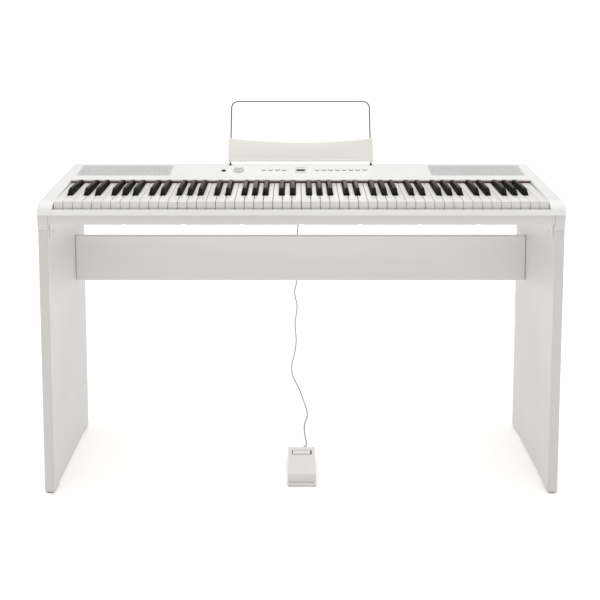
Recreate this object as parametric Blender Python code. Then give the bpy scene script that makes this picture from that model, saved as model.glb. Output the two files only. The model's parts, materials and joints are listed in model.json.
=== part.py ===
"""Digital piano on a stand of two side panels, with its music rest, foot pedal and pedal cord.

Metres. +X towards the treble end, +Y away from the player, +Z up, floor at z = 0.
Distances called depth run back from the front edges of the side panels.
"""
import math

import bmesh
import bpy
from mathutils import Matrix, Vector

GAP = 0.0003                    # clearance between pieces that touch

# Stand
PANEL_FRONT = -0.1567           # y of the side panels' front edges
PANEL_OUTSIDE = 0.648           # half the width over the side panels
PANEL_THICKNESS = 0.0235
PANEL_DEPTH = 0.3055
PANEL_FOOT = 0.005              # height of the glides
CAP_JOINT = 0.680
CAP_FLARE = 0.0025
CROSSBAR_DEPTH = 0.218
CROSSBAR_THICKNESS = 0.017
CROSSBAR_LOW = 0.4706
CROSSBAR_HIGH = 0.5954

# Case
CASE_HALF = 0.6495
CASE_TAPER_DEPTH = 0.130        # the case grows narrower behind this depth
CASE_TAPER = 0.108              # by this much a side, per metre of depth
CASE_BOTTOM = 0.720
CASE_FRONT_DEPTH = -0.005
CASE_REAR_DEPTH = 0.275
CASE_WALL = 0.0035
NOSE_DEPTH = 0.043              # the front's rounding, an elliptical quarter
NOSE_HEIGHT = 0.0245
NOSE_FOOT = 0.728
SHOULDER_DEPTH = 0.125
SHOULDER_HEIGHT = 0.7622
CASE_EDGE = 0.005               # rounding of the case's end edges
TRAY_HALF = 0.6242
TRAY_FRONT_DEPTH = 0.002
TRAY_LOW = 0.6935
TRAY_FLOOR = 0.004
DECK_DEPTH = 0.157              # where the deck starts, behind the keys
DECK_HEIGHT = 0.7691
DECK_SLOPE = math.radians(10.8)
DECK_EDGE_LOW = 0.7654
REAR_ROUND = 0.013
SLOT_HALF = 0.612
LIP_TOP = 0.7325
LIP_BACK_DEPTH = 0.0035
POCKET_MARGIN = 0.004           # from the edge of a grille's pocket to the opening below it

# Keys
WHITE_PITCH = 0.0235
KEY_GAP = 0.001
WHITE_COUNT = 52
KEY_FRONT_DEPTH = 0.006
KEY_FRONT_TOP = 0.752
KEY_TOP_SLOPE = 0.0536
KEY_FRONT_LOW = 0.731
HEAD_DEPTH = 0.0510             # where the white keys narrow beside the black ones
BLACK_HALF = 0.0067
BLACK_FRONT_DEPTH = 0.053
BLACK_NOSE = 0.0115             # length of a black key's sloped front
BLACK_TOP_HALF = 0.00475
BLACK_TOP = 0.771
BLACK_SLOT_HALF = 0.0076
BAR_DEPTH = 0.226               # the bars that join the keys of a comb
KEY_END_DEPTH = 0.238
KEY_HINGE_DEPTH = 0.232
KEY_HINGE_HEIGHT = 0.738
WHITES_PER_OCTAVE = 7
NATURALS = ("C", "D", "E", "F", "G", "A", "B")
SHARP_PLACES = {"C": 21.15, "D": 49.35, "F": 90.64, "G": 117.5, "A": 144.36}
FIRST_SINGLE_WHITE = 23         # middle C, counted from the lowest white key
SINGLE_OCTAVE = 4

# Controls on the deck
BUTTON_RADIUS = 0.0055
BUTTON_PITCH = 0.0187
BUTTON_DEPTH = 0.2225
VOICE_BUTTON_X = -0.1017
FUNCTION_BUTTON_X = 0.0448
VOICE_BUTTONS = 4
FUNCTION_BUTTONS = 8
POWER_X = -0.2113
POWER_DEPTH = 0.2155
POWER_RADIUS = 0.006
KNOB_X = -0.1703
KNOB_DEPTH = 0.2184
KNOB_RADIUS = 0.014
DISPLAY_DEPTH = 0.218
GRILLE_X = 0.480
GRILLE_HALF = 0.127
GRILLE_DEPTH = 0.2172
GRILLE_HALF_DEPTH = 0.0343

# Music rest, drawn in a plane that leans back from the deck
REST_DEPTH = 0.250
REST_HEIGHT = 0.787
REST_LEAN = math.radians(20)
REST_HALF = 0.2035
WIRE_HALF = 0.1965
WIRE_RADIUS = 0.0019
WIRE_TOP = 0.1836
WIRE_CORNER = 0.018
PLATE_HALF_THICKNESS = 0.00175
PLATE_LOW = 0.0105
PLATE_MIDDLE_TOP = 0.0652
PLATE_RISE = 0.0121             # the plate's upper edge curves up this much to its corners
LEDGE_REACH = 0.0135

# Pedal and its cord
PEDAL_X = 0.002
PEDAL_HALF = 0.0358
PEDAL_HINGE_DEPTH = 0.138
PEDAL_HINGE_HEIGHT = 0.015
PEDAL_REAR_TOP = (0.1470, 0.0310)       # the cover's sloping top, as depth and height
PEDAL_FRONT_TOP = (0.0400, 0.0320)
PEDAL_PANEL_DEPTH = 0.124
PEDAL_PANEL_HALF_X = 0.0265
PEDAL_PANEL_HALF_Y = 0.010
PEDAL_PEG_RADIUS = 0.002
SPRING_DEPTH = 0.075
SPRING_LOW = 0.0195
SPRING_HIGH = 0.0270
SPRING_TURNS = 3.5
SPRING_RADIUS = 0.005
SPRING_WIRE = 0.0005
CORD_RADIUS = 0.0018
CORD_POINTS = 80
JACK_X = -0.004
JACK_HEIGHT = 0.742
RELIEF_END_DEPTH = 0.172
RELIEF_HEIGHT = 0.010
PLUG_END_DEPTH = 0.320

# The cord's route from the pedal to the plug: x, depth, height.
CORD_ROUTE = (
    (0.0020, 0.1729, 0.0100),
    (0.0026, 0.1775, 0.0092),
    (0.0080, 0.1850, 0.0062),
    (0.0155, 0.1930, 0.0032),
    (0.0184, 0.2060, 0.0019),
    (0.0143, 0.2314, 0.0018),
    (0.0114, 0.2760, 0.0018),
    (0.0130, 0.3101, 0.0018),
    (0.0205, 0.3400, 0.0019),
    (0.0230, 0.3530, 0.0090),
    (0.0136, 0.3540, 0.0352),
    (-0.0031, 0.3480, 0.0858),
    (-0.0222, 0.3450, 0.1270),
    (-0.0267, 0.3430, 0.1554),
    (-0.0150, 0.3420, 0.2072),
    (-0.0120, 0.3410, 0.2447),
    (-0.0159, 0.3410, 0.2941),
    (-0.0085, 0.3400, 0.3454),
    (-0.0183, 0.3400, 0.3850),
    (-0.0097, 0.3400, 0.4247),
    (-0.0115, 0.3400, 0.5000),
    (-0.0099, 0.3390, 0.5620),
    (-0.0062, 0.3390, 0.5930),
    (-0.0050, 0.3410, 0.6500),
    (-0.0045, 0.3430, 0.7000),
    (-0.0040, 0.3400, 0.7280),
    (-0.0040, 0.3320, 0.7400),
    (-0.0040, 0.3212, 0.7420),
)

# Colours with their roughness and metallic values
WHITE_SATIN = ((0.86, 0.86, 0.85), 0.42, 0.0)
WHITE_BOARD = ((0.80, 0.80, 0.79), 0.50, 0.0)
WHITE_KEY = ((0.90, 0.89, 0.86), 0.22, 0.0)
BLACK_KEY = ((0.018, 0.016, 0.015), 0.30, 0.0)
GRILLE_GREY = ((0.60, 0.60, 0.60), 0.65, 0.0)
CREAM = ((0.75, 0.73, 0.68), 0.45, 0.0)
GREY_STEEL = ((0.45, 0.45, 0.46), 0.35, 0.9)
BLACK_RUBBER = ((0.03, 0.03, 0.03), 0.80, 0.0)
DARK_PLASTIC = ((0.05, 0.05, 0.05), 0.45, 0.0)
RED_FELT = ((0.20, 0.015, 0.02), 0.95, 0.0)
BOARD_GREEN = ((0.03, 0.20, 0.08), 0.50, 0.0)
SILVER = ((0.75, 0.75, 0.75), 0.30, 0.3)
CORD_GREY = ((0.62, 0.62, 0.61), 0.55, 0.0)


def at_depth(depth):
    """The y of a distance behind the side panels' front edges."""
    return PANEL_FRONT + depth


def clear_scene():
    for thing in list(bpy.data.objects):
        bpy.data.objects.remove(thing, do_unlink=True)


def finish(thing, look):
    """Give an object its own material."""
    colour, roughness, metallic = look
    made = bpy.data.materials.new(thing.name)
    made.use_nodes = True
    shader = made.node_tree.nodes["Principled BSDF"]
    shader.inputs["Base Color"].default_value = (*colour, 1.0)
    shader.inputs["Roughness"].default_value = roughness
    shader.inputs["Metallic"].default_value = metallic
    thing.data.materials.append(made)


def place(name, bm, look, pivot=(0.0, 0.0, 0.0), smooth=False):
    """Turn a bmesh drawn in world coordinates into an object with its origin at the pivot."""
    bmesh.ops.recalc_face_normals(bm, faces=bm.faces)
    bmesh.ops.translate(bm, vec=-Vector(pivot), verts=bm.verts)
    mesh = bpy.data.meshes.new(name)
    bm.to_mesh(mesh)
    bm.free()
    if smooth:
        mesh.shade_smooth()
        mesh.set_sharp_from_angle(angle=math.radians(35))
    thing = bpy.data.objects.new(name, mesh)
    thing.location = pivot
    bpy.context.scene.collection.objects.link(thing)
    if look:
        finish(thing, look)
    return thing


def cutter(name, bm):
    """A guide solid for a Boolean, which the model itself leaves out."""
    thing = place(name, bm, None)
    thing.hide_render = True
    thing.display_type = "WIRE"
    return thing


def combine(thing, other, operation):
    step = thing.modifiers.new(other.name, "BOOLEAN")
    step.operation = operation
    step.object = other
    step.solver = "EXACT"


def add_box(bm, low, high, bevel=0.0, segments=1, frame=None):
    """Add a box between two corners, its edges bevelled, in an optional local frame."""
    low, high = Vector(low), Vector(high)
    made = bmesh.ops.create_cube(bm, size=1.0)["verts"]
    for vert in made:
        for axis in range(3):
            middle = (low[axis] + high[axis]) / 2
            vert.co[axis] = middle + vert.co[axis] * (high[axis] - low[axis])
    if bevel:
        edges = list({edge for vert in made for edge in vert.link_edges})
        result = bmesh.ops.bevel(bm, geom=edges, offset=bevel, segments=segments, affect="EDGES",
                                 profile=0.5)
        made = list({vert for face in result["faces"] for vert in face.verts})
    if frame:
        bmesh.ops.transform(bm, matrix=frame, verts=made)


def add_rings(bm, rings, closed=False, cap=True):
    """Skin rings of points with equal counts; a ring of one point is a pole."""
    loops = [[bm.verts.new(point) for point in ring] for ring in rings]
    pairs = list(zip(loops, loops[1:]))
    if closed:
        pairs.append((loops[-1], loops[0]))
    for first, second in pairs:
        count = max(len(first), len(second))
        for k in range(count):
            after = (k + 1) % count
            if len(first) == 1:
                bm.faces.new((first[0], second[k], second[after]))
            elif len(second) == 1:
                bm.faces.new((first[k], second[0], first[after]))
            else:
                bm.faces.new((first[k], second[k], second[after], first[after]))
    if cap and not closed:
        for loop in (loops[0], loops[-1]):
            if len(loop) > 1:
                bm.faces.new(loop)
    return loops


def add_prism(bm, outline, axis, start, end, frame=None):
    """Extrude an outline along X, Y or Z; its points give the two other coordinates in order."""
    place_of = "XYZ".index(axis)
    rings = []
    for along in (start, end):
        ring = []
        for a, b in outline:
            point = [a, b]
            point.insert(place_of, along)
            ring.append(frame @ Vector(point) if frame else Vector(point))
        rings.append(ring)
    add_rings(bm, rings)


def add_lathe(bm, profile, frame, steps=24):
    """Turn a profile of (radius, height) points about the frame's Z axis."""
    rings = []
    for radius, height in profile:
        if radius < 1e-7:
            rings.append([frame @ Vector((0.0, 0.0, height))])
            continue
        ring = []
        for k in range(steps):
            angle = 2 * math.pi * k / steps
            ring.append(frame @ Vector((radius * math.cos(angle), radius * math.sin(angle), height)))
        rings.append(ring)
    add_rings(bm, rings)


def add_cylinder(bm, radius, low, high, frame, steps=16):
    add_lathe(bm, ((radius, low), (radius, high)), frame, steps)


def deck_height(depth):
    return DECK_HEIGHT + (depth - DECK_DEPTH) * math.tan(DECK_SLOPE)


def deck_frame(x, depth):
    """A frame on the deck whose Z axis is the deck's normal."""
    spot = Matrix.Translation((x, at_depth(depth), deck_height(depth)))
    return spot @ Matrix.Rotation(DECK_SLOPE, 4, "X")


def rest_frame(x=0.0, lift=0.0, forward=0.0):
    """A frame in the music rest's plane: Z up the slope, Y towards the back of the rest."""
    spot = Matrix.Translation((0.0, at_depth(REST_DEPTH), REST_HEIGHT))
    tilt = Matrix.Rotation(-REST_LEAN, 4, "X")
    return spot @ tilt @ Matrix.Translation((x, -forward, lift))


def along_y(x, depth, height):
    """A frame whose Z axis points backwards along Y, with its height read as depth."""
    spot = Matrix.Translation((x, at_depth(depth), height))
    return spot @ Matrix.Rotation(-math.pi / 2, 4, "X")


# ---------------------------------------------------------------- stand

def make_side(side, label):
    inside = PANEL_OUTSIDE - PANEL_THICKNESS
    panel = bmesh.new()
    xs = sorted((side * inside, side * PANEL_OUTSIDE))
    add_box(panel, (xs[0], at_depth(0.0), PANEL_FOOT),
            (xs[1], at_depth(PANEL_DEPTH), CAP_JOINT - GAP), bevel=0.0015)
    place(label + "_side_panel", panel, WHITE_BOARD)

    cap = bmesh.new()
    top = CASE_BOTTOM - GAP
    outline = [(side * inside, CAP_JOINT), (side * PANEL_OUTSIDE, CAP_JOINT),
               (side * (PANEL_OUTSIDE + CAP_FLARE), top - 0.002),
               (side * (PANEL_OUTSIDE + CAP_FLARE - 0.002), top), (side * inside, top)]
    add_prism(cap, outline, "Y", at_depth(0.0), at_depth(PANEL_DEPTH))
    place(label + "_panel_cap", cap, WHITE_SATIN)

    bracket = bmesh.new()
    leg = 0.002
    ledge = 0.032
    wall = inside - GAP
    top = TRAY_LOW - GAP
    outline = [(side * wall, 0.655), (side * wall, top), (side * (wall - ledge), top),
               (side * (wall - ledge), top - leg), (side * (wall - leg), top - leg),
               (side * (wall - leg), 0.655)]
    add_prism(bracket, outline, "Y", at_depth(0.012), at_depth(0.262))
    place(label + "_case_bracket", bracket, WHITE_SATIN)

    for spot, start, end in (("front", 0.004, 0.042), ("rear", 0.271, 0.301)):
        glide = bmesh.new()
        xs = sorted((side * (inside + 0.0025), side * (PANEL_OUTSIDE - 0.0025)))
        add_box(glide, (xs[0], at_depth(start), 0.0), (xs[1], at_depth(end), PANEL_FOOT - GAP),
                bevel=0.0008)
        place("%s_%s_glide" % (spot, label), glide, BLACK_RUBBER)


def make_crossbar():
    bar = bmesh.new()
    half = PANEL_OUTSIDE - PANEL_THICKNESS - GAP
    add_box(bar, (-half, at_depth(CROSSBAR_DEPTH), CROSSBAR_LOW),
            (half, at_depth(CROSSBAR_DEPTH + CROSSBAR_THICKNESS), CROSSBAR_HIGH), bevel=0.0015)
    place("crossbar", bar, WHITE_BOARD)


# ---------------------------------------------------------------- case

def case_line(inset):
    """The case's front, top and rear in depth and height, drawn in by a distance."""
    rise = (DECK_HEIGHT - SHOULDER_HEIGHT) / (DECK_DEPTH - SHOULDER_DEPTH)
    taper_height = SHOULDER_HEIGHT + rise * (CASE_TAPER_DEPTH - SHOULDER_DEPTH)
    points = []
    steps = 6
    for k in range(steps + 1):
        turn = math.radians(90) * k / steps
        points.append((CASE_FRONT_DEPTH + NOSE_DEPTH - (NOSE_DEPTH - inset) * math.cos(turn),
                       NOSE_FOOT + (NOSE_HEIGHT - inset) * math.sin(turn)))
    points.append((SHOULDER_DEPTH, SHOULDER_HEIGHT - inset))
    points.append((CASE_TAPER_DEPTH, taper_height - inset))
    points.append((DECK_DEPTH, DECK_HEIGHT - inset))
    centre = CASE_REAR_DEPTH - REAR_ROUND
    height = deck_height(centre) - REAR_ROUND / math.cos(DECK_SLOPE)
    steps = 5
    for k in range(steps + 1):
        turn = (math.pi / 2 + DECK_SLOPE) * (1 - k / steps)
        points.append((centre + (REAR_ROUND - inset) * math.cos(turn),
                       height + (REAR_ROUND - inset) * math.sin(turn)))
    return points


def case_end(depth):
    """Half the case's length at a depth."""
    return CASE_HALF - CASE_TAPER * max(0.0, depth - CASE_TAPER_DEPTH)


def add_case_solid(bm, steps):
    """Add the solid case; its ends are upright strips, which stay flat where it grows narrower."""
    rings = []
    stages = [math.pi / 2 * k / steps for k in range(steps + 1)]
    for side, order in ((-1, stages), (1, stages[::-1])):
        for stage in order:
            line = case_line(CASE_EDGE * (1 - math.sin(stage)))
            outline = line + [(depth, CASE_BOTTOM) for depth, height in reversed(line)]
            draw_in = CASE_EDGE * (1 - math.cos(stage))
            rings.append([(side * (case_end(depth) - draw_in), at_depth(depth), height)
                          for depth, height in outline])
    loops = add_rings(bm, rings, cap=False)
    for loop in (loops[0], loops[-1]):
        for k in range(len(loop) // 2 - 1):
            bm.faces.new((loop[k], loop[k + 1], loop[-2 - k], loop[-1 - k]))
    bmesh.ops.triangulate(bm, faces=bm.faces)


def make_top_case():
    case = bmesh.new()
    add_case_solid(case, steps=3)
    body = place("top_case", case, WHITE_SATIN, smooth=True)

    hollow = bmesh.new()
    rear_centre = CASE_REAR_DEPTH - REAR_ROUND
    rear_inner = REAR_ROUND - CASE_WALL
    rear_height = deck_height(rear_centre) - REAR_ROUND / math.cos(DECK_SLOPE)
    outline = [(at_depth(-0.03), LIP_TOP), (at_depth(LIP_BACK_DEPTH), LIP_TOP),
               (at_depth(LIP_BACK_DEPTH), CASE_BOTTOM - 0.01),
               (at_depth(CASE_REAR_DEPTH - CASE_WALL), CASE_BOTTOM - 0.01)]
    steps = 4
    for k in range(steps + 1):
        turn = (math.pi / 2 + DECK_SLOPE) * k / steps
        outline.append((at_depth(rear_centre + rear_inner * math.cos(turn)),
                        rear_height + rear_inner * math.sin(turn)))
    outline += [(at_depth(DECK_DEPTH), DECK_EDGE_LOW), (at_depth(DECK_DEPTH), 0.83),
                (at_depth(-0.03), 0.83)]
    add_prism(hollow, outline, "X", -SLOT_HALF, SLOT_HALF)
    combine(body, cutter("cut_hollow", hollow), "DIFFERENCE")

    pockets = bmesh.new()
    for side in (-1, 1):
        add_box(pockets, (-GRILLE_HALF, -GRILLE_HALF_DEPTH, -0.0018),
                (GRILLE_HALF, GRILLE_HALF_DEPTH, 0.02), frame=deck_frame(side * GRILLE_X, GRILLE_DEPTH))
    add_box(pockets, (-0.0113, -0.0063, -0.0023), (0.0113, 0.0063, 0.02),
            frame=deck_frame(0.0, DISPLAY_DEPTH))
    combine(body, cutter("cut_pockets", pockets), "DIFFERENCE")

    holes = bmesh.new()
    for side in (-1, 1):
        half = (GRILLE_HALF - POCKET_MARGIN, GRILLE_HALF_DEPTH - POCKET_MARGIN)
        add_box(holes, (-half[0], -half[1], -0.01), (half[0], half[1], 0.01),
                frame=deck_frame(side * GRILLE_X, GRILLE_DEPTH))
        add_cylinder(holes, WIRE_RADIUS + 0.0005, -0.02, 0.02,
                     rest_frame(side * WIRE_HALF, forward=wire_offset()), steps=10)
    for name, x in button_places():
        add_cylinder(holes, BUTTON_RADIUS + 0.0004, -0.01, 0.01, deck_frame(x, BUTTON_DEPTH))
    add_cylinder(holes, POWER_RADIUS + 0.0004, -0.01, 0.01, deck_frame(POWER_X, POWER_DEPTH))
    add_cylinder(holes, 0.0035, -0.01, 0.01, deck_frame(KNOB_X, KNOB_DEPTH), steps=12)
    add_cylinder(holes, 0.0052, -0.01, 0.01, along_y(JACK_X, CASE_REAR_DEPTH, JACK_HEIGHT))
    combine(body, cutter("cut_holes", holes), "DIFFERENCE")


def make_bottom_case():
    tray = bmesh.new()
    top = CASE_BOTTOM - GAP
    front = at_depth(TRAY_FRONT_DEPTH)
    add_box(tray, (-TRAY_HALF, front, TRAY_LOW), (TRAY_HALF, at_depth(CASE_REAR_DEPTH), top))
    body = place("bottom_case", tray, WHITE_SATIN)
    inside = bmesh.new()
    add_box(inside, (-TRAY_HALF + CASE_WALL, front + CASE_WALL, TRAY_LOW + TRAY_FLOOR),
            (TRAY_HALF - CASE_WALL, at_depth(CASE_REAR_DEPTH - CASE_WALL), top + 0.01))
    combine(body, cutter("cut_tray", inside), "DIFFERENCE")


def make_grille_and_speaker(side, label):
    frame = deck_frame(side * GRILLE_X, GRILLE_DEPTH)
    grille = bmesh.new()
    add_box(grille, (-GRILLE_HALF + GAP, -GRILLE_HALF_DEPTH + GAP, -0.0015),
            (GRILLE_HALF - GAP, GRILLE_HALF_DEPTH - GAP, 0.0), frame=frame)
    place(label + "_grille", grille, GRILLE_GREY)

    speaker = bmesh.new()
    rings = []
    for half_x, half_y, height in ((0.055, 0.027, -0.0040), (0.055, 0.027, -0.0060),
                                   (0.042, 0.021, -0.0062), (0.020, 0.018, -0.0120),
                                   (0.020, 0.018, -0.0165)):
        ring = []
        for k in range(20):
            angle = 2 * math.pi * k / 20
            ring.append(frame @ Vector((half_x * math.cos(angle), half_y * math.sin(angle), height)))
        rings.append(ring)
    add_rings(speaker, rings)
    place(label + "_speaker", speaker, DARK_PLASTIC, smooth=True)


def make_inner_pieces():
    felt = bmesh.new()
    add_box(felt, (-SLOT_HALF + GAP, at_depth(DECK_DEPTH + 0.0005), 0.7614),
            (SLOT_HALF - GAP, at_depth(DECK_DEPTH + 0.0045), DECK_EDGE_LOW - GAP))
    place("key_felt", felt, RED_FELT)

    frame = bmesh.new()
    floor = TRAY_LOW + TRAY_FLOOR + GAP
    rail = KEY_END_DEPTH + 0.0025
    sheet = 0.0015
    outline = [(0.020, floor), (rail + sheet, floor), (rail + sheet, 0.735), (rail, 0.735),
               (rail, floor + sheet), (0.020, floor + sheet)]
    add_prism(frame, [(at_depth(depth), height) for depth, height in outline], "X", -0.608, 0.608)
    place("key_frame", frame, GREY_STEEL)

    board = bmesh.new()
    add_box(board, (-0.235, -0.020, -0.0095), (0.205, 0.020, -0.0079), frame=deck_frame(0.0, DISPLAY_DEPTH))
    place("main_board", board, BOARD_GREEN)

    window = bmesh.new()
    add_box(window, (-0.011, -0.0060, -0.0020), (0.011, 0.0060, 0.0), frame=deck_frame(0.0, DISPLAY_DEPTH))
    place("display_window", window, DARK_PLASTIC)


# ---------------------------------------------------------------- keys

def white_left(index):
    """The left edge of a white key's place, counted from the lowest white key."""
    return (index - WHITE_COUNT / 2) * WHITE_PITCH


def natural_of(index):
    """The note letter of a white key; the lowest is A."""
    return NATURALS[(index + NATURALS.index("A")) % WHITES_PER_OCTAVE]


def sharp_centre(index):
    """The x of the black key just above a white key, or None where there is none."""
    letter = natural_of(index)
    if letter not in SHARP_PLACES or index == WHITE_COUNT - 1:
        return None
    octave_left = white_left(index - NATURALS.index(letter))
    return octave_left + SHARP_PLACES[letter] / 1000


def white_edges(index):
    """A white key's head and tail edges: head left, head right, tail left, tail right."""
    left = white_left(index) + KEY_GAP / 2
    right = white_left(index + 1) - KEY_GAP / 2
    tail_left, tail_right = left, right
    before = sharp_centre(index - 1) if index > 0 else None
    after = sharp_centre(index)
    if before is not None:
        tail_left = before + BLACK_SLOT_HALF
    if after is not None:
        tail_right = after - BLACK_SLOT_HALF
    return left, right, tail_left, tail_right


def white_stations():
    """Depth, top and bottom along a white key and its lever."""
    rows = []
    for depth, low in ((KEY_FRONT_DEPTH, KEY_FRONT_LOW), (HEAD_DEPTH, KEY_FRONT_LOW), (DECK_DEPTH, 0.738)):
        rows.append((depth, KEY_FRONT_TOP + KEY_TOP_SLOPE * (depth - KEY_FRONT_DEPTH), low))
    rows.append((BAR_DEPTH, 0.7372, 0.7325))
    rows.append((KEY_END_DEPTH, 0.7372, 0.7325))
    return rows


def add_white_keys(bm, indices, joined):
    """Add white keys as one slab of cells; joined keys share a bar at the hinge."""
    edges = sorted({round(edge, 7) for index in indices for edge in white_edges(index)})
    spans = [tuple(round(edge, 7) for edge in white_edges(index)) for index in indices]
    stations = white_stations()
    rows = len(stations) - 1

    def filled(column, row):
        if not (0 <= column < len(edges) - 1 and 0 <= row < rows):
            return False
        middle = (edges[column] + edges[column + 1]) / 2
        if row == rows - 1 and joined:
            return True
        for left, right, tail_left, tail_right in spans:
            low, high = (left, right) if row == 0 else (tail_left, tail_right)
            if low < middle < high:
                return True
        return False

    corners = {}

    def corner(column, row, level):
        key = (column, row, level)
        if key not in corners:
            depth, top, low = stations[row]
            corners[key] = bm.verts.new((edges[column], at_depth(depth), (low, top)[level]))
        return corners[key]

    for column in range(len(edges) - 1):
        for row in range(rows):
            if not filled(column, row):
                continue
            around = ((column, row), (column + 1, row), (column + 1, row + 1), (column, row + 1))
            for level in (0, 1):
                bm.faces.new([corner(c, r, level) for c, r in around])
            sides = (((column, row - 1), around[0], around[1]), ((column + 1, row), around[1], around[2]),
                     ((column, row + 1), around[2], around[3]), ((column - 1, row), around[3], around[0]))
            for neighbour, first, second in sides:
                if not filled(*neighbour):
                    bm.faces.new((corner(*first, 0), corner(*second, 0), corner(*second, 1),
                                  corner(*first, 1)))


def add_black_key(bm, centre):
    """Add one black key with its lever."""
    rings = []
    nose_end = BLACK_FRONT_DEPTH + BLACK_NOSE
    for depth, top_half, low, top in ((BLACK_FRONT_DEPTH, BLACK_HALF - 0.0002, 0.744, 0.757),
                                      (nose_end, BLACK_TOP_HALF, 0.744, BLACK_TOP),
                                      (0.1545, BLACK_TOP_HALF, 0.744, BLACK_TOP),
                                      (0.1557, BLACK_HALF - 0.0001, 0.744, 0.759),
                                      (BAR_DEPTH, BLACK_HALF - 0.0001, 0.738, 0.744),
                                      (KEY_END_DEPTH, BLACK_HALF - 0.0001, 0.738, 0.744)):
        y = at_depth(depth)
        rings.append([(centre - BLACK_HALF, y, low), (centre + BLACK_HALF, y, low),
                      (centre + top_half, y, top), (centre - top_half, y, top)])
    add_rings(bm, rings)


def hinge_point(x):
    return (x, at_depth(KEY_HINGE_DEPTH), KEY_HINGE_HEIGHT)


def make_white_comb(name, indices):
    comb = bmesh.new()
    add_white_keys(comb, indices, joined=True)
    place(name, comb, WHITE_KEY, hinge_point(white_left(indices[len(indices) // 2])))


def make_black_comb(name, centres):
    bar = bmesh.new()
    add_box(bar, (centres[0] - BLACK_HALF, at_depth(BAR_DEPTH + 0.001), 0.7382),
            (centres[-1] + BLACK_HALF, at_depth(KEY_END_DEPTH + 0.0005), 0.7438))
    comb = place(name, bar, BLACK_KEY, hinge_point(centres[len(centres) // 2]))
    keys = bmesh.new()
    for centre in centres:
        add_black_key(keys, centre)
    combine(comb, cutter("join_" + name, keys), "UNION")


def make_keys():
    last_single = FIRST_SINGLE_WHITE + WHITES_PER_OCTAVE
    groups = (("low", range(0, FIRST_SINGLE_WHITE)), ("high", range(last_single, WHITE_COUNT)))
    for label, indices in groups:
        indices = list(indices)
        make_white_comb(label + "_white_keys", indices)
        centres = [sharp_centre(index) for index in indices]
        make_black_comb(label + "_black_keys", [centre for centre in centres if centre is not None])
    for index in range(FIRST_SINGLE_WHITE, last_single):
        letter = natural_of(index)
        key = bmesh.new()
        add_white_keys(key, [index], joined=False)
        place("key_%s%d" % (letter, SINGLE_OCTAVE), key, WHITE_KEY,
              hinge_point(white_left(index) + WHITE_PITCH / 2))
        centre = sharp_centre(index)
        if centre is not None:
            key = bmesh.new()
            add_black_key(key, centre)
            place("key_%s_sharp%d" % (letter, SINGLE_OCTAVE), key, BLACK_KEY, hinge_point(centre))


# ---------------------------------------------------------------- controls

def button_places():
    """The name and x of each round button."""
    rows = (("voice_button", VOICE_BUTTON_X, VOICE_BUTTONS),
            ("function_button", FUNCTION_BUTTON_X, FUNCTION_BUTTONS))
    return [("%s_%d" % (label, k + 1), first + BUTTON_PITCH * k)
            for label, first, count in rows for k in range(count)]


def make_button(name, x, depth, radius, look):
    button = bmesh.new()
    frame = deck_frame(x, depth)
    profile = ((radius, -0.0055), (radius, 0.0009), (radius - 0.0006, 0.0014), (radius * 0.6, 0.0012))
    add_lathe(button, profile, frame, steps=16)
    place(name, button, look, frame.translation, smooth=True)


def make_knob():
    knob = bmesh.new()
    frame = deck_frame(KNOB_X, KNOB_DEPTH)
    profile = ((0.003, -0.0075), (0.003, 0.0004), (KNOB_RADIUS, 0.0004), (KNOB_RADIUS, 0.0020),
               (KNOB_RADIUS - 0.0012, 0.0115), (KNOB_RADIUS - 0.0022, 0.0125))
    add_lathe(knob, profile, frame, steps=28)
    place("volume_knob", knob, SILVER, frame.translation, smooth=True)


# ---------------------------------------------------------------- music rest

def wire_offset():
    """How far the wire's plane lies in front of the plate's middle; it is behind, so negative."""
    return -(PLATE_HALF_THICKNESS + WIRE_RADIUS + GAP)


def make_music_rest():
    frame = rest_frame()
    pivot = frame.translation
    plate = bmesh.new()
    low = PLATE_LOW
    outline = [(-REST_HALF, low), (REST_HALF, low)]
    steps = 10
    half = REST_HALF - 0.0005
    for k in range(steps + 1):
        x = half * (1 - 2 * k / steps)
        outline.append((x, PLATE_MIDDLE_TOP + PLATE_RISE * (x / half) ** 2))
    add_prism(plate, outline, "Y", -PLATE_HALF_THICKNESS, PLATE_HALF_THICKNESS, frame)
    body = place("music_rest_plate", plate, CREAM, pivot)
    ledge = bmesh.new()
    lip = -LEDGE_REACH + 0.0015
    outline = [(-LEDGE_REACH, low), (0.0, low), (0.0, low + 0.0025), (lip, low + 0.0020),
               (lip, low + 0.0055), (-LEDGE_REACH, low + 0.0055)]
    add_prism(ledge, outline, "X", -REST_HALF, REST_HALF, frame)
    combine(body, cutter("join_ledge", ledge), "UNION")

    back = -wire_offset()
    points = [(-WIRE_HALF, -0.010)]
    steps = 6
    for side, first in ((-1, math.pi), (1, math.pi / 2)):
        for k in range(steps + 1):
            turn = first - math.pi / 2 * k / steps
            points.append((side * (WIRE_HALF - WIRE_CORNER) + WIRE_CORNER * math.cos(turn),
                           WIRE_TOP - WIRE_CORNER + WIRE_CORNER * math.sin(turn)))
    points.append((WIRE_HALF, -0.010))
    path = [frame @ Vector((x, back, lift)) for x, lift in points]
    make_tube("music_rest_wire", path, WIRE_RADIUS, GREY_STEEL, pivot)


def make_tube(name, path, radius, look, pivot=(0.0, 0.0, 0.0), resolution=2):
    """A round tube along a path, as a curve object with filled caps."""
    curve = bpy.data.curves.new(name, "CURVE")
    curve.dimensions = "3D"
    curve.bevel_depth = radius
    curve.bevel_resolution = resolution
    curve.use_fill_caps = True
    spline = curve.splines.new("POLY")
    spline.points.add(len(path) - 1)
    for point, spot in zip(spline.points, path):
        point.co = (*(Vector(spot) - Vector(pivot)), 1.0)
    thing = bpy.data.objects.new(name, curve)
    thing.location = pivot
    bpy.context.scene.collection.objects.link(thing)
    finish(thing, look)


# ---------------------------------------------------------------- pedal

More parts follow.
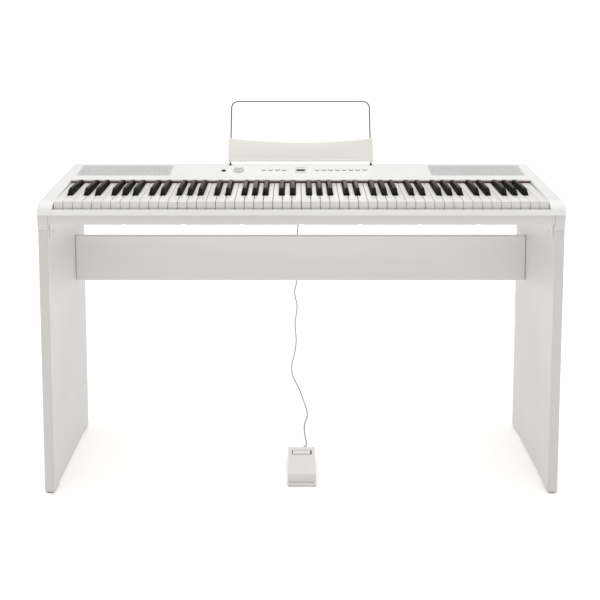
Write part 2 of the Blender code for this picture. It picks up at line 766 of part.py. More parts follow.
def make_pedal():
    xs = (PEDAL_X - PEDAL_HALF, PEDAL_X + PEDAL_HALF)
    hinge = (PEDAL_X, at_depth(PEDAL_HINGE_DEPTH), PEDAL_HINGE_HEIGHT)
    along_x = Matrix.Translation(hinge) @ Matrix.Rotation(math.pi / 2, 4, "Y")

    base = bmesh.new()
    add_box(base, (xs[0] - 0.0005, at_depth(0.0285), 0.0), (xs[1] + 0.0005, at_depth(0.149), 0.006),
            bevel=0.001)
    body = place("pedal_base", base, WHITE_SATIN)
    block = bmesh.new()
    add_box(block, (xs[0] + 0.0032, at_depth(0.034), 0.003), (xs[1] - 0.0032, at_depth(0.142), 0.0185))
    combine(body, cutter("join_pedal_block", block), "UNION")
    pegs = bmesh.new()
    add_cylinder(pegs, PEDAL_PEG_RADIUS, -PEDAL_HALF + GAP, PEDAL_HALF - GAP, along_x, steps=12)
    combine(body, cutter("join_pedal_pegs", pegs), "UNION")

    plate = bmesh.new()
    outer = [(0.1485, 0.0110), (0.1485, 0.0294), PEDAL_REAR_TOP, PEDAL_FRONT_TOP, (0.0350, 0.0310),
             (0.0315, 0.0280), (0.0300, 0.0235), (0.0300, 0.0140)]
    add_prism(plate, [(at_depth(depth), height) for depth, height in outer], "X", *xs)
    cover = place("pedal_plate", plate, WHITE_SATIN, hinge)
    inner = [(0.1460, 0.0050), (0.1460, 0.0283), (0.0400, 0.0293), (0.0360, 0.0283), (0.0335, 0.0265),
             (0.0325, 0.0230), (0.0325, 0.0050)]
    hollow = bmesh.new()
    add_prism(hollow, [(at_depth(depth), height) for depth, height in inner], "X", xs[0] + 0.0025,
              xs[1] - 0.0025)
    combine(cover, cutter("cut_pedal_inside", hollow), "DIFFERENCE")
    holes = bmesh.new()
    add_cylinder(holes, PEDAL_PEG_RADIUS + 0.0004, -PEDAL_HALF - 0.01, PEDAL_HALF + 0.01, along_x, steps=12)
    combine(cover, cutter("cut_pedal_hinge", holes), "DIFFERENCE")
    panel = bmesh.new()
    fall = (PEDAL_FRONT_TOP[1] - PEDAL_REAR_TOP[1]) / (PEDAL_REAR_TOP[0] - PEDAL_FRONT_TOP[0])
    height = PEDAL_FRONT_TOP[1] - fall * (PEDAL_PANEL_DEPTH - PEDAL_FRONT_TOP[0])
    spot = Matrix.Translation((PEDAL_X + 0.0005, at_depth(PEDAL_PANEL_DEPTH), height))
    add_box(panel, (-PEDAL_PANEL_HALF_X, -PEDAL_PANEL_HALF_Y, -0.0005),
            (PEDAL_PANEL_HALF_X, PEDAL_PANEL_HALF_Y, 0.01),
            frame=spot @ Matrix.Rotation(-math.atan(fall), 4, "X"))
    combine(cover, cutter("cut_pedal_panel", panel), "DIFFERENCE")

    steps = 36
    path = []
    for k in range(steps + 1):
        angle = 2 * math.pi * SPRING_TURNS * k / steps
        path.append((PEDAL_X + SPRING_RADIUS * math.cos(angle),
                     at_depth(SPRING_DEPTH) + SPRING_RADIUS * math.sin(angle),
                     SPRING_LOW + (SPRING_HIGH - SPRING_LOW) * k / steps))
    make_tube("pedal_spring", path, SPRING_WIRE, GREY_STEEL, resolution=0)

    relief = bmesh.new()
    profile = ((0.0045, 0.1493), (0.0045, 0.1515), (0.0036, 0.1520), (0.0021, RELIEF_END_DEPTH))
    add_lathe(relief, profile, along_y(PEDAL_X, 0.0, RELIEF_HEIGHT), steps=12)
    place("pedal_strain_relief", relief, CORD_GREY, smooth=True)


def make_jack_and_plug():
    frame = along_y(JACK_X, 0.0, JACK_HEIGHT)
    jack = bmesh.new()
    wall = CASE_REAR_DEPTH + GAP
    profile = ((0.0, 0.250), (0.0047, 0.250), (0.0047, wall), (0.0065, wall), (0.0065, wall + 0.002),
               (0.0035, wall + 0.002), (0.0035, 0.2525), (0.0, 0.2525))
    add_lathe(jack, profile, frame, steps=16)
    place("pedal_jack", jack, DARK_PLASTIC, smooth=True)

    plug = bmesh.new()
    profile = ((0.0, 0.2545), (0.0022, 0.2560), (0.0031, 0.2580), (0.0031, wall + 0.0025),
               (0.0060, wall + 0.0025), (0.0060, 0.3040), (0.0045, 0.3050), (0.0022, PLUG_END_DEPTH))
    add_lathe(plug, profile, frame, steps=16)
    place("pedal_plug", plug, DARK_PLASTIC, smooth=True)


def smooth_route(points, count):
    """Evenly spaced points along a Catmull-Rom curve through the given points."""
    points = [Vector(point) for point in points]
    padded = [points[0] * 2 - points[1], *points, points[-1] * 2 - points[-2]]
    dense = []
    fine = 24
    for a, b, c, d in zip(padded, padded[1:], padded[2:], padded[3:]):
        for k in range(fine):
            t = k / fine
            dense.append(0.5 * ((2 * b) + (c - a) * t + (2 * a - 5 * b + 4 * c - d) * t * t
                                + (3 * b - a - 3 * c + d) * t ** 3))
    dense.append(points[-1])
    lengths = [0.0]
    for first, second in zip(dense, dense[1:]):
        lengths.append(lengths[-1] + (second - first).length)
    route = []
    place_in = 0
    for k in range(count):
        want = lengths[-1] * k / (count - 1)
        while place_in < len(lengths) - 2 and lengths[place_in + 1] < want:
            place_in += 1
        span = lengths[place_in + 1] - lengths[place_in]
        route.append(dense[place_in].lerp(dense[place_in + 1], (want - lengths[place_in]) / span))
    return route


def make_cord():
    route = smooth_route([(x, at_depth(depth), height) for x, depth, height in CORD_ROUTE], CORD_POINTS)
    for _ in range(2):
        eased = [(a + 2 * b + c) / 4 for a, b, c in zip(route, route[1:], route[2:])]
        route = [route[0], *eased, route[-1]]
    for spot in route:
        spot.z = max(spot.z, CORD_RADIUS + 0.0001)
    make_tube("pedal_cord", route, CORD_RADIUS, CORD_GREY)


def main():
    clear_scene()
    for side, label in ((-1, "left"), (1, "right")):
        make_side(side, label)
        make_grille_and_speaker(side, label)
    make_crossbar()
    make_top_case()
    make_bottom_case()
    make_inner_pieces()
    make_keys()
    for name, x in button_places():
        make_button(name, x, BUTTON_DEPTH, BUTTON_RADIUS, WHITE_SATIN)
    make_button("power_button", POWER_X, POWER_DEPTH, POWER_RADIUS, DARK_PLASTIC)
    make_knob()
    make_music_rest()
    make_pedal()
    make_jack_and_plug()
    make_cord()


main()
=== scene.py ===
"""The looks of the digital piano on its stand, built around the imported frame.

Metres. +X towards the treble end, +Y away from the player, +Z up. A depth is a distance
behind the side panels' front edges, as in the frame's own design.
"""
import json
from math import atan, atan2, copysign, cos, degrees, pi, radians, sin, tan

import bmesh
import bpy
from mathutils import Matrix, Vector


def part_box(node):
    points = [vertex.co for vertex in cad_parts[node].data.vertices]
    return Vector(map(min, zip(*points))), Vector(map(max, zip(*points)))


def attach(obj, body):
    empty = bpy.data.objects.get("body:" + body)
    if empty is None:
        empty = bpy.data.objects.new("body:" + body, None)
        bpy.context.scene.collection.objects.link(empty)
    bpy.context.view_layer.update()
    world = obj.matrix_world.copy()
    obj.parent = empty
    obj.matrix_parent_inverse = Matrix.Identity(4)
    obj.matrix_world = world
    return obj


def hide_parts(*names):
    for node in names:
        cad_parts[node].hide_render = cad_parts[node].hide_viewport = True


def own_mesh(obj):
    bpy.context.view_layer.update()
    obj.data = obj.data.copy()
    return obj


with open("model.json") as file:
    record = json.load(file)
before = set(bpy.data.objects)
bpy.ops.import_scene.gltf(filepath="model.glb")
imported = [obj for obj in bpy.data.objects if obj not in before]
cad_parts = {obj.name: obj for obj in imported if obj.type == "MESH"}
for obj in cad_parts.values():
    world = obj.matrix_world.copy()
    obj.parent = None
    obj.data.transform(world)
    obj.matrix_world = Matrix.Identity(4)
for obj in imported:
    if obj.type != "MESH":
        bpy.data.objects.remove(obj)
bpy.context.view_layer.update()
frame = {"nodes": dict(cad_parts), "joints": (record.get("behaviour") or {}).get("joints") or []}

JOINTS = {joint["name"]: joint for joint in frame["joints"]}
MM = 0.001
BUTTON_NODES = ["voice_button_%d" % (k + 1) for k in range(4)]
BUTTON_NODES += ["function_button_%d" % (k + 1) for k in range(8)]

# Places read from the frame
PANEL_LOW, PANEL_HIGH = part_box("right_side_panel")
PANEL_FRONT = PANEL_LOW.y
CAP_LOW, CAP_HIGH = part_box("right_panel_cap")
BAR_LOW, BAR_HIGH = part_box("crossbar")
PUSH_AXIS = Vector(JOINTS["voice_button_1_push"]["axis"])
DECK_SLOPE = atan2(PUSH_AXIS.y, -PUSH_AXIS.z)
KNOB_SPOT = Vector(JOINTS["volume_turn"]["pos_m"])
REST_AXIS = Vector(JOINTS["music_rest_lift"]["axis"])
REST_LEAN = atan2(REST_AXIS.y, REST_AXIS.z)
PEDAL_HINGE = Vector(JOINTS["pedal_press"]["pos_m"])

# Case
CASE_HALF = 0.6495
CASE_TAPER_DEPTH = 0.130        # the case grows narrower behind this depth
CASE_TAPER = 0.108              # by this much a side, per metre of depth
CASE_BOTTOM = 0.720
CASE_FRONT_DEPTH = -0.005
CASE_REAR_DEPTH = 0.275
CASE_WALL = 0.0035
CASE_EDGE = 0.005
NOSE_DEPTH = 0.043              # the front's rounding, an elliptical quarter
NOSE_HEIGHT = 0.0245
NOSE_FOOT = 0.728
SHOULDER_DEPTH = 0.125
SHOULDER_HEIGHT = 0.7622
DECK_DEPTH = 0.157
DECK_HEIGHT = 0.7691
DECK_EDGE_LOW = 0.7654
REAR_ROUND = 0.013
SLOT_HALF = 0.612
LIP_TOP = 0.7325
LIP_BACK_DEPTH = 0.0035
GRILLE_X = 0.480
GRILLE_HALF = 0.127
GRILLE_DEPTH = 0.2172
GRILLE_HALF_DEPTH = 0.0343
POCKET = 0.0018
DISPLAY_DEPTH = 0.218
JACK_HEIGHT = 0.742
JACK_X = -0.004
BOSS_PITCH = 0.1455             # spacing of the screw bosses under the case

# Keys
WHITE_PITCH = 0.0235
KEY_GAP = 0.001
WHITE_COUNT = 52
KEY_FRONT_DEPTH = 0.006
KEY_FRONT_TOP = 0.752
KEY_TOP_SLOPE = 0.0536
KEY_FRONT_LOW = 0.731
HEAD_DEPTH = 0.0510
BLACK_HALF = 0.0067
BLACK_FRONT_DEPTH = 0.053
BLACK_TOP = 0.771
BLACK_SLOT_HALF = 0.0076
KEY_END_DEPTH = 0.238
WHITES_PER_OCTAVE = 7
NATURALS = ("C", "D", "E", "F", "G", "A", "B")
SHARP_PLACES = {"C": 21.15 * MM, "D": 49.35 * MM, "F": 90.64 * MM, "G": 117.5 * MM, "A": 144.36 * MM}
FIRST_SINGLE_WHITE = 23
SINGLE_OCTAVE = 4

# Music rest
REST_DEPTH = 0.250
REST_HEIGHT = 0.787
REST_HALF = 0.2035
WIRE_HALF = 0.1965
WIRE_RADIUS = 0.0019
WIRE_TOP = 0.1836
WIRE_CORNER = 0.018
PLATE_HALF_THICKNESS = 0.00175
PLATE_LOW = 0.0105
PLATE_MIDDLE_TOP = 0.0652
PLATE_RISE = 0.0121             # the plate's upper edge curves up this much to its corners
LEDGE_REACH = 0.0135
WIRE_BACK = PLATE_HALF_THICKNESS + WIRE_RADIUS + 0.0003

# Pedal and its cord
PEDAL_REAR_TOP = (0.1470, 0.0310)       # the cover's sloping top, as depth and height
PEDAL_FRONT_TOP = (0.0400, 0.0320)
PEDAL_PANEL_DEPTH = 0.124
PEDAL_PANEL_HALF_X = 0.0265
PEDAL_PANEL_HALF_Y = 0.010
PEDAL_PEG_RADIUS = 0.002
SPRING_TURNS = 3.5
SPRING_RADIUS = 0.005
SPRING_WIRE = 0.0005
CORD_RADIUS = 0.0018
CORD_ROUTE = (
    (0.0020, 0.1729, 0.0100),
    (0.0026, 0.1775, 0.0092),
    (0.0080, 0.1850, 0.0062),
    (0.0155, 0.1930, 0.0032),
    (0.0184, 0.2060, 0.0019),
    (0.0143, 0.2314, 0.0018),
    (0.0114, 0.2760, 0.0018),
    (0.0130, 0.3101, 0.0018),
    (0.0205, 0.3400, 0.0019),
    (0.0230, 0.3530, 0.0090),
    (0.0136, 0.3540, 0.0352),
    (-0.0031, 0.3480, 0.0858),
    (-0.0222, 0.3450, 0.1270),
    (-0.0267, 0.3430, 0.1554),
    (-0.0150, 0.3420, 0.2072),
    (-0.0120, 0.3410, 0.2447),
    (-0.0159, 0.3410, 0.2941),
    (-0.0085, 0.3400, 0.3454),
    (-0.0183, 0.3400, 0.3850),
    (-0.0097, 0.3400, 0.4247),
    (-0.0115, 0.3400, 0.5000),
    (-0.0099, 0.3390, 0.5620),
    (-0.0062, 0.3390, 0.5930),
    (-0.0050, 0.3410, 0.6500),
    (-0.0045, 0.3430, 0.7000),
    (-0.0040, 0.3400, 0.7280),
    (-0.0040, 0.3320, 0.7400),
    (-0.0040, 0.3212, 0.7420),
)


# ---- places

def at_depth(depth):
    return PANEL_FRONT + depth


def deck_height(depth):
    return KNOB_SPOT.z + (at_depth(depth) - KNOB_SPOT.y) * tan(DECK_SLOPE)


REAR_CENTRE = (CASE_REAR_DEPTH - REAR_ROUND,
               deck_height(CASE_REAR_DEPTH - REAR_ROUND) - REAR_ROUND / cos(DECK_SLOPE))


def deck_frame(x, depth):
    """A frame on the deck whose Z axis is the deck's normal."""
    spot = Matrix.Translation((x, at_depth(depth), deck_height(depth)))
    return spot @ Matrix.Rotation(DECK_SLOPE, 4, "X")


def on_deck(node):
    """The deck frame under a button or the knob, read from its node's box."""
    low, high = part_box(node)
    middle = (low + high) / 2
    normal = -PUSH_AXIS.normalized()
    base = Vector((middle.x, KNOB_SPOT.y, KNOB_SPOT.z))
    spot = middle - normal * (middle - base).dot(normal)
    return Matrix.Translation(spot) @ Matrix.Rotation(DECK_SLOPE, 4, "X")


def rest_frame():
    """The music rest's plane: X along it, Z up its slope, Y towards its back."""
    spot = Matrix.Translation((0.0, at_depth(REST_DEPTH), REST_HEIGHT))
    return spot @ Matrix.Rotation(-REST_LEAN, 4, "X")


def wire_frame(side, height=0.0, back=WIRE_BACK):
    """A frame on a leg of the rest's wire, its Z axis along the leg."""
    return rest_frame() @ Matrix.Translation((side * WIRE_HALF, back, height))


def along_y(x, y, height):
    """A frame whose Z axis points backwards along Y."""
    return Matrix.Translation((x, y, height)) @ Matrix.Rotation(-pi / 2, 4, "X")


def facing(x, y, z, side):
    """A frame whose Z axis points along X, to the right for 1 and to the left for -1."""
    return Matrix.Translation((x, y, z)) @ Matrix.Rotation(side * pi / 2, 4, "Y")


def facing_down(x, y, z):
    """A frame whose Z axis points down."""
    return Matrix.Translation((x, y, z)) @ Matrix.Rotation(pi, 4, "X")


# ---- materials

def add_node(tree, kind, **inputs):
    """A new shader node, with its inputs given by name, an underscore for each space."""
    node = tree.nodes.new("ShaderNode" + kind)
    for name, value in inputs.items():
        node.inputs[name.replace("_", " ")].default_value = value
    return node


def make_look(name, colour, roughness, grain=1400.0, bump=0.12, depth=0.00006, tone=0.03,
              tone_scale=9.0, rough_spread=0.05, stretch=(1.0, 1.0, 1.0), metallic=0.0,
              coat=0.0, sheen=0.0, specular=0.5, fleck=0.0):
    """A Principled material with cloudy tone, uneven gloss and a fine surface grain."""
    look = bpy.data.materials.new(name)
    look.use_nodes = True
    tree, link = look.node_tree, look.node_tree.links.new
    shader = tree.nodes["Principled BSDF"]
    for socket, value in (("Metallic", metallic), ("Coat Weight", coat), ("Coat Roughness", 0.12),
                          ("Sheen Weight", sheen), ("Specular IOR Level", specular)):
        shader.inputs[socket].default_value = value
    place = add_node(tree, "TexCoord")
    fit = add_node(tree, "Mapping", Scale=stretch)
    link(place.outputs["Object"], fit.inputs["Vector"])

    clouds = add_node(tree, "TexNoise", Scale=tone_scale, Detail=4.0)
    link(fit.outputs["Vector"], clouds.inputs["Vector"])
    ramp = add_node(tree, "ValToRGB")
    for stop, position, change in zip(ramp.color_ramp.elements, (0.3, 0.7), (1 - tone, 1 + tone)):
        stop.position = position
        stop.color = (*[min(1.0, part * change) for part in colour], 1.0)
    link(clouds.outputs["Fac"], ramp.inputs["Fac"])

    fine = add_node(tree, "TexNoise", Scale=grain, Detail=3.0, Roughness=0.6)
    link(fit.outputs["Vector"], fine.inputs["Vector"])
    if fleck:
        mix = add_node(tree, "Mix")
        mix.data_type = "RGBA"
        mix.blend_type = "MULTIPLY"
        mix.inputs[0].default_value = fleck
        link(ramp.outputs["Color"], mix.inputs[6])
        spots = add_node(tree, "MapRange", From_Min=0.35, From_Max=0.65)
        link(fine.outputs["Fac"], spots.inputs["Value"])
        link(spots.outputs["Result"], mix.inputs[7])
        link(mix.outputs[2], shader.inputs["Base Color"])
    else:
        link(ramp.outputs["Color"], shader.inputs["Base Color"])

    gloss = add_node(tree, "MapRange", From_Min=0.3, From_Max=0.7,
                     To_Min=max(0.02, roughness - rough_spread),
                     To_Max=min(1.0, roughness + rough_spread))
    link(clouds.outputs["Fac"], gloss.inputs["Value"])
    link(gloss.outputs["Result"], shader.inputs["Roughness"])
    relief = add_node(tree, "Bump", Strength=bump, Distance=depth)
    link(fine.outputs["Fac"], relief.inputs["Height"])
    link(relief.outputs["Normal"], shader.inputs["Normal"])
    return look


CASE_WHITE = make_look("case_white", (0.84, 0.84, 0.83), 0.42, grain=1900.0, bump=0.25, tone=0.012)
# A darker copy of the case white, which paints shade on the caps, the tray under the case and the
# display's bezel.
CASE_PAINTED_SHADE = make_look("case_white_painted_shade", (0.70, 0.69, 0.68), 0.45, grain=1900.0, bump=0.25, tone=0.012)
BOARD_WHITE = make_look("board_foil", (0.81, 0.80, 0.795), 0.50, grain=700.0, bump=0.35, tone=0.02,
                        stretch=(1.0, 1.0, 0.22), tone_scale=14.0, fleck=0.02)
BAR_WHITE = make_look("crossbar_foil", (0.82, 0.81, 0.80), 0.50, grain=700.0, bump=0.35, tone=0.02,
                      stretch=(0.22, 1.0, 1.0), tone_scale=14.0, fleck=0.02)
# The edge bands are a darker copy of the board's white: painted shade on the panels' upright front and
# rear faces.
EDGE_BAND_PAINTED_SHADE = make_look("edge_band_painted_shade", (0.65, 0.635, 0.625), 0.38, grain=1100.0, bump=0.2, tone=0.015,
                      stretch=(1.0, 1.0, 0.3))
IVORY = make_look("key_ivory", (0.95, 0.935, 0.91), 0.20, grain=900.0, bump=0.05, tone=0.01, coat=0.35)
# A darker copy of the ivory for the white keys' front faces: painted shade.
KEY_FRONT_PAINTED_SHADE = make_look("key_front_face", (0.76, 0.745, 0.715), 0.30, grain=900.0, bump=0.05, tone=0.01)
# Dark grey for the buttons' side walls: painted shade in the ring around each button.
BUTTON_WALL_PAINTED_SHADE = make_look("button_wall_painted_shade", (0.20, 0.20, 0.20), 0.5, grain=1500.0, bump=0.15)
EBONY = make_look("key_ebony", (0.046, 0.037, 0.032), 0.34, grain=1300.0, bump=0.35, tone=0.12,
                  tone_scale=60.0, coat=0.15, stretch=(1.0, 0.15, 1.0))
GRILLE_WHITE = make_look("grille_paint", (0.64, 0.635, 0.63), 0.48, grain=2200.0, bump=0.15)
CREAM = make_look("rest_cream", (0.96, 0.945, 0.88), 0.46, grain=1500.0, bump=0.3, tone=0.015)
WIRE_GREY = make_look("rest_wire", (0.15, 0.147, 0.147), 0.42, grain=1600.0, bump=0.12, metallic=0.6,
                      tone=0.05, tone_scale=40.0)
RUBBER = make_look("glide_rubber", (0.035, 0.035, 0.035), 0.80, grain=1200.0, bump=0.5, tone=0.1)
BLACK_PLASTIC = make_look("black_plastic", (0.022, 0.022, 0.023), 0.36, grain=2000.0, bump=0.25,
                          tone=0.08)
# A blacker, duller copy of the ebony for the black keys' fronts and sides: painted shade.
BLACK_KEY_PAINTED_SHADE = make_look("key_nose", (0.006, 0.005, 0.005), 0.5, grain=1300.0, bump=0.35, tone=0.1,
                       tone_scale=60.0, specular=0.12)
PEDAL_WHITE = make_look("pedal_white", (0.85, 0.825, 0.815), 0.46, grain=1500.0, bump=0.35, tone=0.015)
# A darker copy of the pedal white for the cover's front slope: painted shade.
PEDAL_FRONT_PAINTED_SHADE = make_look("pedal_front_painted_shade", (0.74, 0.715, 0.705), 0.46, grain=1500.0, bump=0.35,
                        tone=0.015)
SLEEVE_BROWN = make_look("rest_sleeve", (0.075, 0.060, 0.052), 0.55, grain=1500.0, bump=0.3, tone=0.08)
FELT = make_look("red_felt", (0.17, 0.012, 0.018), 0.95, grain=2600.0, bump=0.9, depth=0.0003,
                 tone=0.25, tone_scale=300.0, sheen=0.5, fleck=0.3)
SILVER = make_look("knob_silver", (0.84, 0.84, 0.82), 0.28, grain=1500.0, bump=0.1,
                   tone=0.02)
GLASS_BLACK = make_look("display_glass", (0.008, 0.008, 0.010), 0.12, grain=400.0, bump=0.02,
                        rough_spread=0.03, specular=0.15)
POWER_BLACK = make_look("power_black", (0.008, 0.008, 0.008), 0.5, grain=2000.0, bump=0.25,
                        specular=0.15)
SCREW_WHITE = make_look("painted_screw", (0.74, 0.74, 0.73), 0.35, grain=1700.0, bump=0.15)
SEGMENT = make_look("display_segment", (0.045, 0.012, 0.011), 0.4, grain=900.0, bump=0.05)
CORD_GREY = make_look("cord_jacket", (0.41, 0.41, 0.40), 0.48, grain=1800.0, bump=0.3, tone=0.03,
                      tone_scale=30.0)
STEEL = make_look("zinc_steel", (0.62, 0.62, 0.63), 0.32, grain=1700.0, bump=0.2, metallic=0.95,
                  tone=0.06, tone_scale=120.0)
BOARD_GREEN = make_look("circuit_board", (0.02, 0.14, 0.06), 0.45, grain=500.0, bump=0.2, tone=0.1,
                        tone_scale=90.0)
CONE = make_look("speaker_cone", (0.03, 0.03, 0.032), 0.75, grain=900.0, bump=0.4, tone=0.1)
PRINT_GREY = make_look("printed_line", (0.42, 0.42, 0.42), 0.5, grain=900.0, bump=0.1)


# ---- mesh helpers

def shape(add, *given, **more):
    """A new bmesh with one shape added to it."""
    bm = bmesh.new()
    add(bm, *given, **more)
    return bm


def add_object(name, data):
    thing = bpy.data.objects.new(name, data)
    bpy.context.scene.collection.objects.link(thing)
    return thing


def rough_object(bm):
    """A loose mesh object to carve before it becomes a piece."""
    bmesh.ops.recalc_face_normals(bm, faces=bm.faces)
    mesh = bpy.data.meshes.new("rough")
    bm.to_mesh(mesh)
    bm.free()
    return add_object("rough", mesh)


def take_mesh(thing):
    """The mesh of a loose object, which is then removed."""
    mesh = thing.data
    bpy.data.objects.remove(thing)
    return mesh


def make_piece(name, form, look, body="root", replaces=(), sharp=32.0, bevel=0.0):
    """Turn a bmesh, a loose object or a mesh into a piece that rides on a body."""
    if isinstance(form, bmesh.types.BMesh):
        form = rough_object(form)
    mesh = take_mesh(form) if isinstance(form, bpy.types.Object) else form
    mesh.shade_smooth()
    mesh.set_sharp_from_angle(angle=radians(sharp))
    thing = add_object(name, mesh)
    if not mesh.materials:
        mesh.materials.append(look)
    if bevel:
        round_edges(thing, bevel)
    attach(thing, body)
    if replaces:
        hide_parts(*replaces)
    return thing


def round_edges(thing, width):
    """Round the sharp edges, with the flat faces kept flat in the shading."""
    step = thing.modifiers.new("rounding", "BEVEL")
    step.width = width
    step.segments = 2
    step.limit_method = "ANGLE"
    step.angle_limit = radians(38)
    step.harden_normals = True


def carve(thing, bm, operation="DIFFERENCE"):
    """Cut or join a closed bmesh with a mesh object, and keep the result."""
    tool = rough_object(bm)
    step = thing.modifiers.new("carve", "BOOLEAN")
    step.operation = operation
    step.object = tool
    step.solver = "EXACT"
    bpy.context.view_layer.update()
    result = bpy.data.meshes.new_from_object(thing.evaluated_get(bpy.context.evaluated_depsgraph_get()))
    thing.modifiers.remove(step)
    thing.data = result
    bpy.data.meshes.remove(take_mesh(tool))


def add_rings(bm, rings, closed=False, cap=True):
    """Skin rings of points with equal counts; a ring of one point is a pole."""
    loops = [[bm.verts.new(point) for point in ring] for ring in rings]
    pairs = list(zip(loops, loops[1:]))
    if closed:
        pairs.append((loops[-1], loops[0]))
    for first, second in pairs:
        count = max(len(first), len(second))
        for k in range(count):
            after = (k + 1) % count
            if len(first) == 1:
                bm.faces.new((first[0], second[k], second[after]))
            elif len(second) == 1:
                bm.faces.new((first[k], second[0], first[after]))
            else:
                bm.faces.new((first[k], second[k], second[after], first[after]))
    if cap and not closed:
        for loop in (loops[0], loops[-1]):
            if len(loop) > 1:
                bm.faces.new(loop)
    return loops


def add_prism(bm, outline, axis, start, end, place=None):
    """Extrude an outline along X, Y or Z; its points give the two other coordinates in order."""
    rings = []
    for along in (start, end):
        ring = []
        for a, b in outline:
            point = [a, b]
            point.insert("XYZ".index(axis), along)
            ring.append(place @ Vector(point) if place else Vector(point))
        rings.append(ring)
    add_rings(bm, rings)


def add_box(bm, low, high, place=None):
    outline = [(low[0], low[1]), (high[0], low[1]), (high[0], high[1]), (low[0], high[1])]
    add_prism(bm, outline, "Z", low[2], high[2], place)


def oval(half_x, half_y, height, place, steps):
    """A ring of points on an ellipse."""
    turns = [2 * pi * k / steps for k in range(steps)]
    return [place @ Vector((half_x * cos(turn), half_y * sin(turn), height)) for turn in turns]


def add_lathe(bm, profile, place, steps=48, wave=None):
    """Turn (radius, height) points about Z; wave(angle, height) may scale the radius."""
    rings = []
    for radius, height in profile:
        if radius < 1e-7:
            rings.append([place @ Vector((0.0, 0.0, height))])
            continue
        ring = []
        for k in range(steps):
            angle = 2 * pi * k / steps
            reach = radius * (wave(angle, height) if wave else 1.0)
            ring.append(place @ Vector((reach * cos(angle), reach * sin(angle), height)))
        rings.append(ring)
    add_rings(bm, rings)


def add_cylinder(bm, radius, low, high, place, steps=40):
    add_lathe(bm, ((radius, low), (radius, high)), place, steps)


def arc(centre, radius, start, end, steps):
    """Points on an arc, its angles in degrees."""
    points = []
    for k in range(steps + 1):
        turn = radians(start + (end - start) * k / steps)
        points.append((centre[0] + radius * cos(turn), centre[1] + radius * sin(turn)))
    return points


def rounded_outline(half_x, half_y, radius, steps=6, middle=(0.0, 0.0)):
    """A rectangle with round corners, anticlockwise."""
    points = []
    for sx, sy, start in ((1, 1, 0), (-1, 1, 90), (-1, -1, 180), (1, -1, 270)):
        centre = (middle[0] + sx * (half_x - radius), middle[1] + sy * (half_y - radius))
        points += arc(centre, radius, start, start + 90, steps)
    return points


def add_cushion(bm, half_x, half_y, radius, low, high, edge, place, middle=(0.0, 0.0)):
    """A rounded plate whose upper edge is rounded as well."""
    rings = []
    rounds = 4
    for height, inset in [(low, 0.0)] + [
            (high - edge * (1 - sin(pi / 2 * k / rounds)),
             edge * (1 - cos(pi / 2 * k / rounds))) for k in range(rounds + 1)]:
        outline = rounded_outline(half_x - inset, half_y - inset, max(radius - inset, edge * 0.2),
                                  middle=middle)
        rings.append([place @ Vector((x, y, height)) for x, y in outline])
    add_rings(bm, rings)


def add_tube(bm, path, radius, steps=16, closed=False):
    """A round tube along a path, its section turned with the least twist."""
    path = [Vector(point) for point in path]
    rings = []
    side = None
    for k, spot in enumerate(path):
        before = path[k - 1] if k else spot
        after = path[k + 1] if k < len(path) - 1 else spot
        ahead = (after - before).normalized()
        if side is None:
            side = ahead.orthogonal().normalized()
        side = (side - ahead * side.dot(ahead)).normalized()
        across = ahead.cross(side)
        size = radius[k] if isinstance(radius, (list, tuple)) else radius
        rings.append([spot + size * (side * cos(2 * pi * j / steps)
                                     + across * sin(2 * pi * j / steps))
                      for j in range(steps)])
    add_rings(bm, rings, closed=closed)


def smooth_route(points, count):
    """Evenly spaced points along a Catmull-Rom curve through the given points."""
    points = [Vector(point) for point in points]
    padded = [points[0] * 2 - points[1], *points, points[-1] * 2 - points[-2]]
    dense = []
    fine = 24
    for a, b, c, d in zip(padded, padded[1:], padded[2:], padded[3:]):
        for k in range(fine):
            t = k / fine
            dense.append(0.5 * ((2 * b) + (c - a) * t + (2 * a - 5 * b + 4 * c - d) * t * t
                                + (3 * b - a - 3 * c + d) * t ** 3))
    dense.append(points[-1])
    lengths = [0.0]
    for first, second in zip(dense, dense[1:]):
        lengths.append(lengths[-1] + (second - first).length)
    route = []
    reached = 0
    for k in range(count):
        want = lengths[-1] * k / (count - 1)
        while reached < len(lengths) - 2 and lengths[reached + 1] < want:
            reached += 1
        span = lengths[reached + 1] - lengths[reached]
        route.append(dense[reached].lerp(dense[reached + 1], (want - lengths[reached]) / span))
    return route


# ---- screws

def screw_mesh(radius, height, look):
    """A pan-head screw with a cross recess, standing on its frame's plane."""
    brim = height * 0.35
    profile = [(radius, 0.0), (radius, brim)]
    for turn in (20, 40, 60, 78):
        rise = (height - brim) * sin(radians(turn))
        profile.append((radius * cos(radians(turn)), brim + rise))
    profile.append((0.0, height))
    thing = rough_object(shape(add_lathe, profile, Matrix.Identity(4), steps=24))
    long, short = radius * 0.55, radius * 0.11
    for turn in (0, pi / 2):
        carve(thing, shape(add_box, (-long, -short, height * 0.4), (long, short, height * 2),
                           Matrix.Rotation(turn, 4, "Z")))
    mesh = take_mesh(thing)
    mesh.materials.append(look)
    return mesh


def place_screw(name, mesh, spot, turn):
    """Put a screw at a frame, turned about its own axis."""
    screw = make_piece(name, mesh, None)
    screw.matrix_world = spot @ Matrix.Rotation(radians(turn), 4, "Z")


SCREW = screw_mesh(0.0034, 0.0016, STEEL)
PAINTED_SCREW = screw_mesh(0.0034, 0.0012, SCREW_WHITE)


# ---- stand

def mirrored(side, points):
    """An outline drawn for the right end, for the end that side names."""
    return [(side * x, y) for x, y in points]


